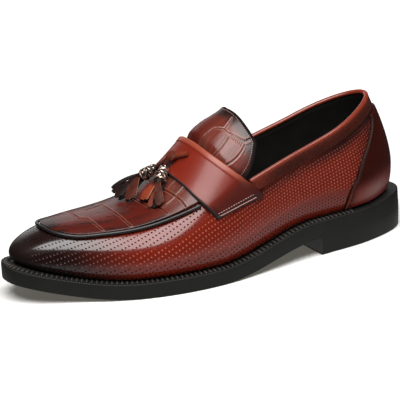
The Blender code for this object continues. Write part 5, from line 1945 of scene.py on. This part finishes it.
class LoaferColours(bpy.types.PropertyGroup):
    """Colours of the finishes."""

    leather: colour("Leather", (0.114, 0.0078, 0.0022), "Upper's leather")
    # Dark of the burnish and of the painted shade: under the collar, in creases and grooves, on shaded tassel
    # strips.
    burnish: colour("Burnish", (0.006, 0.0022, 0.0018), "Hand-rubbed dark shade")
    # Painted highlight in the dimples: on the red of the side, and on the burnish.
    dimple: colour("Dimple", (0.29, 0.075, 0.050), "Rubbed leather of a dimple on the red of the side")
    dimple_glint_on_burnish: colour("Dark dimple", (0.06, 0.026, 0.023), "Rubbed leather of a dimple on the burnish")
    strap: colour("Strap", (0.13, 0.0088, 0.0024), "Strap's leather")
    # Painted highlight along the strap's folded back edge.
    strap_fold: colour("Strap fold", (0.34, 0.10, 0.05), "Rubbed leather on the strap's folded edge")
    # Painted reflection of the floor low on the heel counter, and a faint painted sheen on its fold.
    bloom: colour("Bloom", (0.16, 0.085, 0.08), "Waxy bloom on the heel panel")
    # Painted highlight on the crease rims, also the painted sheen of the apron and tongue.
    rim: colour("Crease rim", (0.30, 0.10, 0.07), "Rubbed leather beside the creases")
    apron: colour("Apron", (0.07, 0.0062, 0.0028), "Embossed leather")
    collar: colour("Collar", (0.15, 0.020, 0.008), "Rolled collar edge")
    piping: colour("Piping", (0.006, 0.005, 0.005), "Edging")
    piping_worn: colour("Worn piping", (0.014, 0.012, 0.011), "Edging where it is rubbed")
    rubber: colour("Rubber", (0.006, 0.006, 0.0055), "Sole")
    dust: colour("Dust", (0.014, 0.014, 0.012), "Dust on the sole")
    # Painted highlight on the welt's ribs.
    rib_dust: colour("Rib dust", (0.060, 0.052, 0.046), "Dust on the welt's ribs")
    lining: colour("Lining", (0.003, 0.003, 0.0025), "Lining")
    lining_worn: colour("Worn lining", (0.014, 0.013, 0.012), "Lining where it is rubbed")
    bronze: colour("Bronze", (0.88, 0.62, 0.50), "Rubbed bronze")
    bronze_recess: colour("Bronze recess", (0.007, 0.005, 0.004), "Blackened bronze")
    tassel: colour("Tassel", (0.16, 0.024, 0.009), "Tassel strips")
    cut_edge: colour("Cut edge", (0.34, 0.15, 0.085), "Raw edge of the tassel strips")
    pale_thread: colour("Pale thread", (0.45, 0.25, 0.22), "Strap and tongue stitching")
    dark_thread: colour("Dark thread", (0.028, 0.015, 0.008), "Counter stitching")


class LoaferStage(bpy.types.PropertyGroup):
    """Floor, light and camera."""

    floor_size: length("Floor size", 8.0, "Side of the floor")
    floor_colour: colour("Floor", (0.66, 0.66, 0.65), "Floor's colour")
    shadow_tone: colour("Shadow tone", (0.10, 0.095, 0.08), "Light that fills the shadow on the floor")
    floor_glow: number("Floor glow", 1.0, "Light from the far floor")
    glow_reach: lengths_of("Glow reach", (0.22, 0.6), "Where the floor's glow starts and is full")
    world_light: number("Surroundings", 0.04, "Light all round")
    key_power: power("Overhead light", 46.0, "Power of the overhead softbox")
    key_place: lengths_of("Overhead place", (0.25, 0.49, 1.15), "Middle of the overhead softbox")
    key_size: lengths_of("Overhead size", (1.5, 1.15), "Sides of the overhead softbox")
    back_power: power("Back light", 2.2, "Power of the back softbox")
    back_place: lengths_of("Back place", (-0.45, -1.25, 0.42), "Middle of the back softbox")
    back_size: lengths_of("Back size", (1.6, 0.6), "Sides of the back softbox")
    bounce_radius: length("Bounce radius", 0.24, "Reach of the floor that shows in reflections")
    bounce_light: number("Bounce light", 0.8, "Brightness of the floor in reflections")
    camera_azimuth: angle("Azimuth", 24.185, "Turn from the outer side to the toe")
    camera_tilt: angle("Tilt", 17.469, "Height of the view over level")
    camera_roll: angle("Roll", -4.25, "Turn of the camera about its view")
    camera_distance: length("Camera distance", 3.0467, "From the camera to the shoe")
    camera_lens: number("Lens", 388.7, "Focal length in mm")
    camera_target: lengths_of("Target", (-0.00055, -0.00063, 0.045), "Point that the camera looks at")
    frame_offset: lengths_of("Offset", (-0.00461, 0.000354), "Shift of the view, right and up")


class LOAFER_OT_upper(bpy.types.Operator):
    """Builds the upper's leather and its lining"""

    bl_idname = "loafer.upper"
    bl_label = "Upper"

    def execute(self, context):
        build_upper(context.scene.loafer_sizes)
        build_lining()
        return {"FINISHED"}


class LOAFER_OT_sole(bpy.types.Operator):
    """Builds the sole, heel, welt and sock lining"""

    bl_idname = "loafer.sole"
    bl_label = "Sole"

    def execute(self, context):
        build_sole(context.scene.loafer_sizes)
        build_insole()
        return {"FINISHED"}


class LOAFER_OT_apron(bpy.types.Operator):
    """Builds the embossed apron and its piping"""

    bl_idname = "loafer.apron"
    bl_label = "Apron"

    def execute(self, context):
        build_apron(context.scene.loafer_sizes)
        build_piping(context.scene.loafer_sizes)
        return {"FINISHED"}


class LOAFER_OT_strap(bpy.types.Operator):
    """Builds the strap over the instep"""

    bl_idname = "loafer.strap"
    bl_label = "Strap"

    def execute(self, context):
        build_strap(context.scene.loafer_sizes)
        return {"FINISHED"}


class LOAFER_OT_tongue(bpy.types.Operator):
    """Builds the tongue and its bound edge"""

    bl_idname = "loafer.tongue"
    bl_label = "Tongue"

    def execute(self, context):
        build_tongue(context.scene.loafer_sizes)
        return {"FINISHED"}


class LOAFER_OT_collar(bpy.types.Operator):
    """Builds the rolled collar and the heel counter"""

    bl_idname = "loafer.collar"
    bl_label = "Collar"

    def execute(self, context):
        build_collar(context.scene.loafer_sizes)
        build_counter(context.scene.loafer_sizes)
        return {"FINISHED"}


class LOAFER_OT_tassels(bpy.types.Operator):
    """Builds the tassels and their lace"""

    bl_idname = "loafer.tassels"
    bl_label = "Tassels"

    def execute(self, context):
        sizes = context.scene.loafer_sizes
        for side, name, strips in ((1, "outer", OUTER_STRIPS), (-1, "inner", INNER_STRIPS)):
            build_cap(side, name, sizes)
            build_fringe(side, name, strips, sizes)
        build_lace(sizes)
        return {"FINISHED"}


class LOAFER_OT_stitching(bpy.types.Operator):
    """Sews the stitch rows"""

    bl_idname = "loafer.stitching"
    bl_label = "Stitching"

    def execute(self, context):
        build_stitching(context.scene.loafer_sizes)
        return {"FINISHED"}


class LOAFER_OT_stage(bpy.types.Operator):
    """Lays the floor, the light and the camera"""

    bl_idname = "loafer.stage"
    bl_label = "Stage"

    def execute(self, context):
        build_stage(context.scene.loafer_stage)
        return {"FINISHED"}


OPERATORS = (
    LOAFER_OT_upper,
    LOAFER_OT_sole,
    LOAFER_OT_apron,
    LOAFER_OT_strap,
    LOAFER_OT_tongue,
    LOAFER_OT_collar,
    LOAFER_OT_tassels,
    LOAFER_OT_stitching,
    LOAFER_OT_stage,
)
GROUPS = {"loafer_sizes": LoaferSizes, "loafer_colours": LoaferColours, "loafer_stage": LoaferStage}


class LOAFER_PT_panel(bpy.types.Panel):
    """Builds the loafer, piece by piece"""

    bl_label = "Tassel loafer"
    bl_idname = "LOAFER_PT_panel"
    bl_space_type = "VIEW_3D"
    bl_region_type = "UI"
    bl_category = "Loafer"

    def draw(self, context):
        for operator in OPERATORS:
            self.layout.operator(operator.bl_idname)
        for name, group in GROUPS.items():
            box = self.layout.box()
            for key in group.__annotations__:
                box.prop(getattr(context.scene, name), key)


def register():
    for name, group in GROUPS.items():
        bpy.utils.register_class(group)
        setattr(bpy.types.Scene, name, bpy.props.PointerProperty(type=group))
    for cls in (*OPERATORS, LOAFER_PT_panel):
        bpy.utils.register_class(cls)


def unregister():
    for cls in (LOAFER_PT_panel, *reversed(OPERATORS)):
        bpy.utils.unregister_class(cls)
    for name, group in GROUPS.items():
        delattr(bpy.types.Scene, name)
        bpy.utils.unregister_class(group)


def main():
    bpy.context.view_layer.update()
    register()
    bpy.ops.loafer.upper()
    bpy.ops.loafer.sole()
    bpy.ops.loafer.apron()
    bpy.ops.loafer.strap()
    bpy.ops.loafer.tongue()
    bpy.ops.loafer.collar()
    bpy.ops.loafer.tassels()
    bpy.ops.loafer.stitching()
    bpy.ops.loafer.stage()
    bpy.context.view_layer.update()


if __name__ == "__main__":
    main()
